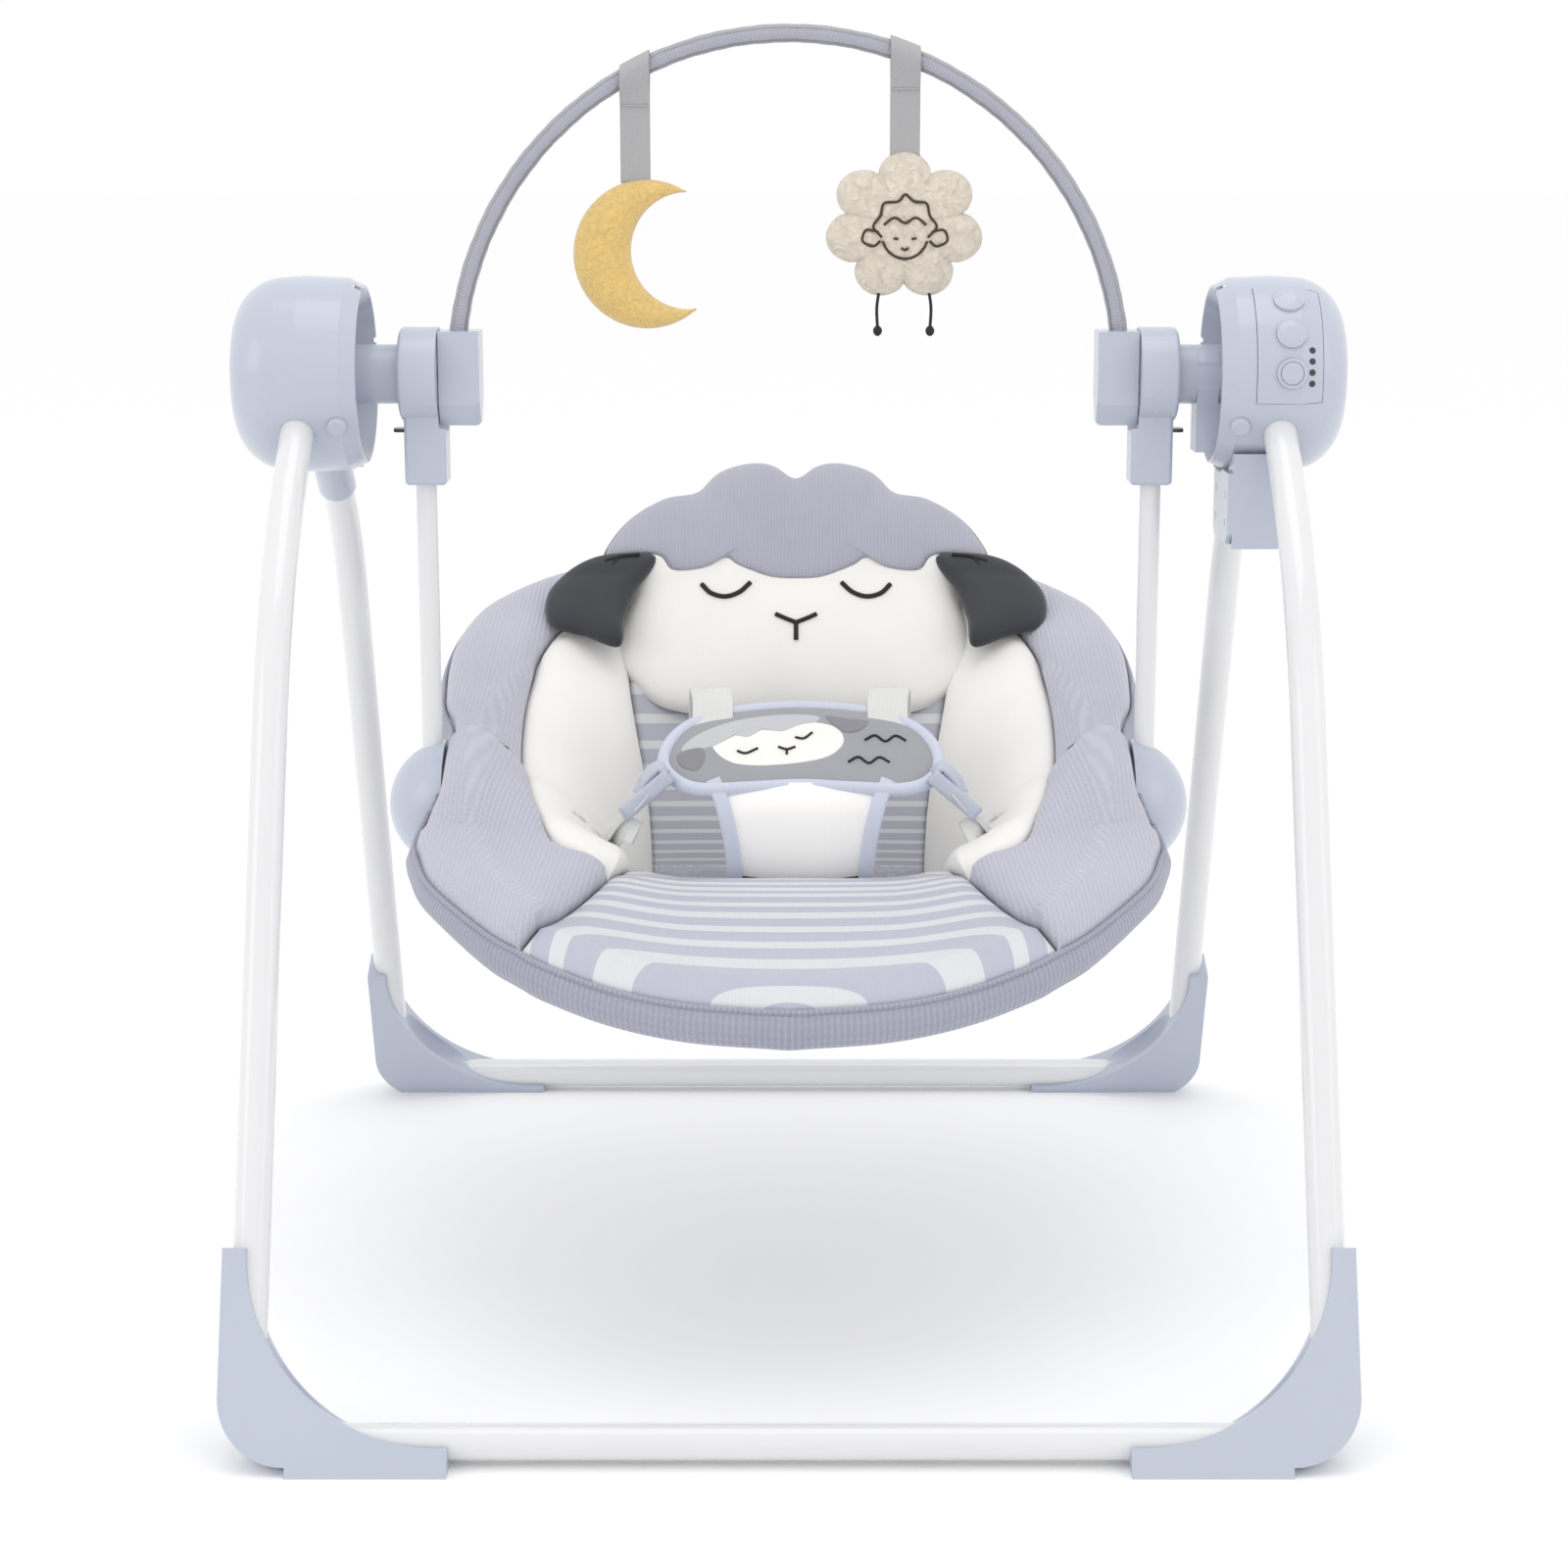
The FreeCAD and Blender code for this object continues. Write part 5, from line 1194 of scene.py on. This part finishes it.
# %% Ribbons
def ribbon(x, length, body, name, node_name):
    """A ribbon up from the toy, over the bar and down again; its top leans with the bar."""
    top = bar_top(x)
    foot = top - BAR_HALF - length
    front = [(-0.9, foot), (-1.2, top - 30), (-2.2, top - 16), (-6.9, top - 4), (-7.2, top + 2.5)]
    line = ([(x, y, z) for y, z in front] + [(x, 0, top + 7.4)] + [(x, -y, z) for y, z in front[::-1]])
    grid = strap_along(line, 17.0, 1.1, count=110)
    p = grid["points"]
    lean = np.clip((p[..., 2] - (top - 22)) / 16.0, 0, 1) * (-x / math.sqrt(BAR_R ** 2 - x ** 2))
    p[..., 2] += lean * (p[..., 0] - x)
    sewn_across = [strap_along([(x - 7.5, -2.6, top - 19), (x + 7.5, -2.6, top - 19)], 1.2, 0.8,
                               across=(0, 0, 1), count=8)]
    made = closed_piece(name, [grid] + sewn_across, RIBBON, body)
    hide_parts(node_name)
    return foot


MOON_X, SHEEP_X = -87.0, 66.0
MOON_RIBBON, SHEEP_RIBBON = 57.0, 51.0
SEWN_IN = 2.0                        # length of ribbon inside the toy
moon_foot = ribbon(MOON_X, MOON_RIBBON, "moon", "moon_ribbon", "moon_strap")
sheep_foot = ribbon(SHEEP_X, SHEEP_RIBBON, "sheep", "sheep_ribbon", "sheep_strap")
print("ribbons end at", round(moon_foot), "and", round(sheep_foot), "mm")

# %% [markdown]
# Along each ray the crescent runs from where the bite ends to the big circle. Half that width is
# the section's half-width, and its depth shrinks with it towards the tips. Cutting one ball out
# of another would leave a sharp edge at the bite, and a section along rays stays round there.

# %% Moon
MOON_R, BITE_R, BITE = 42.0, 33.0, np.array([24.0, 2.0])
moon_top = bar_top(MOON_X) - BAR_HALF - (MOON_RIBBON - SEWN_IN)
moon_middle = np.array([MOON_X + 6.0, 0.0, moon_top - MOON_R])
reach_of_tips = math.acos((MOON_R ** 2 + BITE @ BITE - BITE_R ** 2) / (2 * MOON_R * math.hypot(*BITE)))
tilt = math.atan2(BITE[1], BITE[0])
theta = np.linspace(tilt + reach_of_tips + 0.015, tilt + 2 * math.pi - reach_of_tips - 0.015, 90)
ray = np.stack([np.cos(theta), np.sin(theta)], -1)
inner = ray @ BITE + np.sqrt(np.maximum((ray @ BITE) ** 2 - BITE @ BITE + BITE_R ** 2, 0))
half = np.maximum((MOON_R - inner) / 2, 0.6)[:, None]
middle_r = ((MOON_R + inner) / 2)[:, None]
phi = np.linspace(0, 2 * np.pi, 28, endpoint=False)[None, :]
depth = 12.5 * np.minimum(half / 16.5, 1) ** 0.55
moon_r = middle_r + half * np.sign(np.cos(phi)) * np.abs(np.cos(phi)) ** 0.9
moon_points = np.stack([moon_middle[0] + ray[:, 0:1] * moon_r, depth * np.sin(phi) + 0 * moon_r,
                        moon_middle[2] + ray[:, 1:2] * moon_r], -1)
moon_grid = {"points": moon_points, "wrap_cols": True, "caps": ("first", "last")}
moon = closed_piece("terry_moon", [moon_grid], TERRY, "moon")
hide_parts("moon_toy")
print("moon is", round(2 * MOON_R), "mm across")

# %% [markdown]
# The sheep is a fleece flower with seven petals. Its face is drawn with thread: a cloud of hair,
# two ears, a round chin and two small eyes. Two short tied tails hang below it. The face could
# be a picture, but sewing stands up from fleece, so each line is a thin raised thread.

# %% Sheep
SHEEP_TALL = 41.3                    # from its middle to its top petal
sheep_middle = (SHEEP_X, 0.0, bar_top(SHEEP_X) - BAR_HALF - (SHEEP_RIBBON - SEWN_IN) - SHEEP_TALL)
SHEEP = plane(sheep_middle, 0.0)
around = np.linspace(0, 2 * np.pi, 140, endpoint=False)
petal = np.abs(np.cos(3.5 * (around - math.pi / 2))) ** 0.75
flower = np.stack([(34.5 + 11.0 * petal) * np.cos(around), (32.5 + 9.5 * petal) * np.sin(around)], -1)
body_grid = stuffed(flower, SHEEP, 12.5, 12.5, power=3.2, rings=20, count=280)
fleece = closed_piece("fleece_sheep", [body_grid], SHERPA, "sheep")
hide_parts("sheep_toy")


def fleece_face(x, t):
    """Front of the fleece: 12.5 * sqrt(1 - k^3.2) over a circle of the flower's mean size."""
    return 12.5 * np.sqrt(np.maximum(0.05, 1 - np.clip(np.hypot(x, t) / 40.0, 0, 1) ** 3.2))


def thread(points, count=30):
    """A brown line of sewing on the fleece."""
    return stitch(points, SHEEP, fleece_face, 0.75, lift=0.5, count=count)


cheek = np.linspace(math.radians(200), math.radians(340), 9)
drawn = [thread([(13.5 * math.cos(a), -3 + 15 * math.sin(a)) for a in cheek])]
drawn.append(thread([(-13, -6), (-18, 0), (-14, 6), (-12, 13), (-4, 14), (0, 18), (5, 14), (12, 13), (14, 6),
                     (18, 0), (13, -6)], 60))
drawn.append(thread([(-12, 1), (-6, 5), (0, 2), (6, 5), (12, 1)], 30))
for side in (-1, 1):
    ear_loop = [(side * 15, -3), (side * 22, -2), (side * 24, -8), (side * 18, -11), (side * 14, -8)]
    drawn.append(thread(ear_loop, 30))
    drawn.append(stitch([(side * 5, -6), (side * 5.2, -7.4)], SHEEP, fleece_face, 1.4, lift=0.5, count=6))
drawn.append(thread([(-2, -12), (0, -13), (2, -12)], 10))
closed_piece("sheep_stitching", drawn, BROWN, "sheep")
tails = []
for side in (-1, 1):
    x0, z0 = SHEEP_X + side * 14.0, sheep_middle[2] - 38.0
    tail_line = smooth_line([(x0, -3, z0 + 3), (x0 + side * 1.5, -4, z0 - 8), (x0 + side, -4, z0 - 20)], 24)
    tails.append(roll(tail_line, 0.9, sides=8, up=facing))
    knot = np.linspace(0, 1, 14)
    knot_line = np.stack([x0 + side + 0 * knot, -4 + 0 * knot, z0 - 18 - 6 * knot], -1)
    tails.append(roll(knot_line, 0.5 + 2.1 * np.sin(np.pi * knot) ** 0.6, sides=12, up=facing))
closed_piece("sheep_tails", tails, THREAD, "sheep")
print("sheep has", len(drawn), "sewn lines and", len(tails) // 2, "tails")
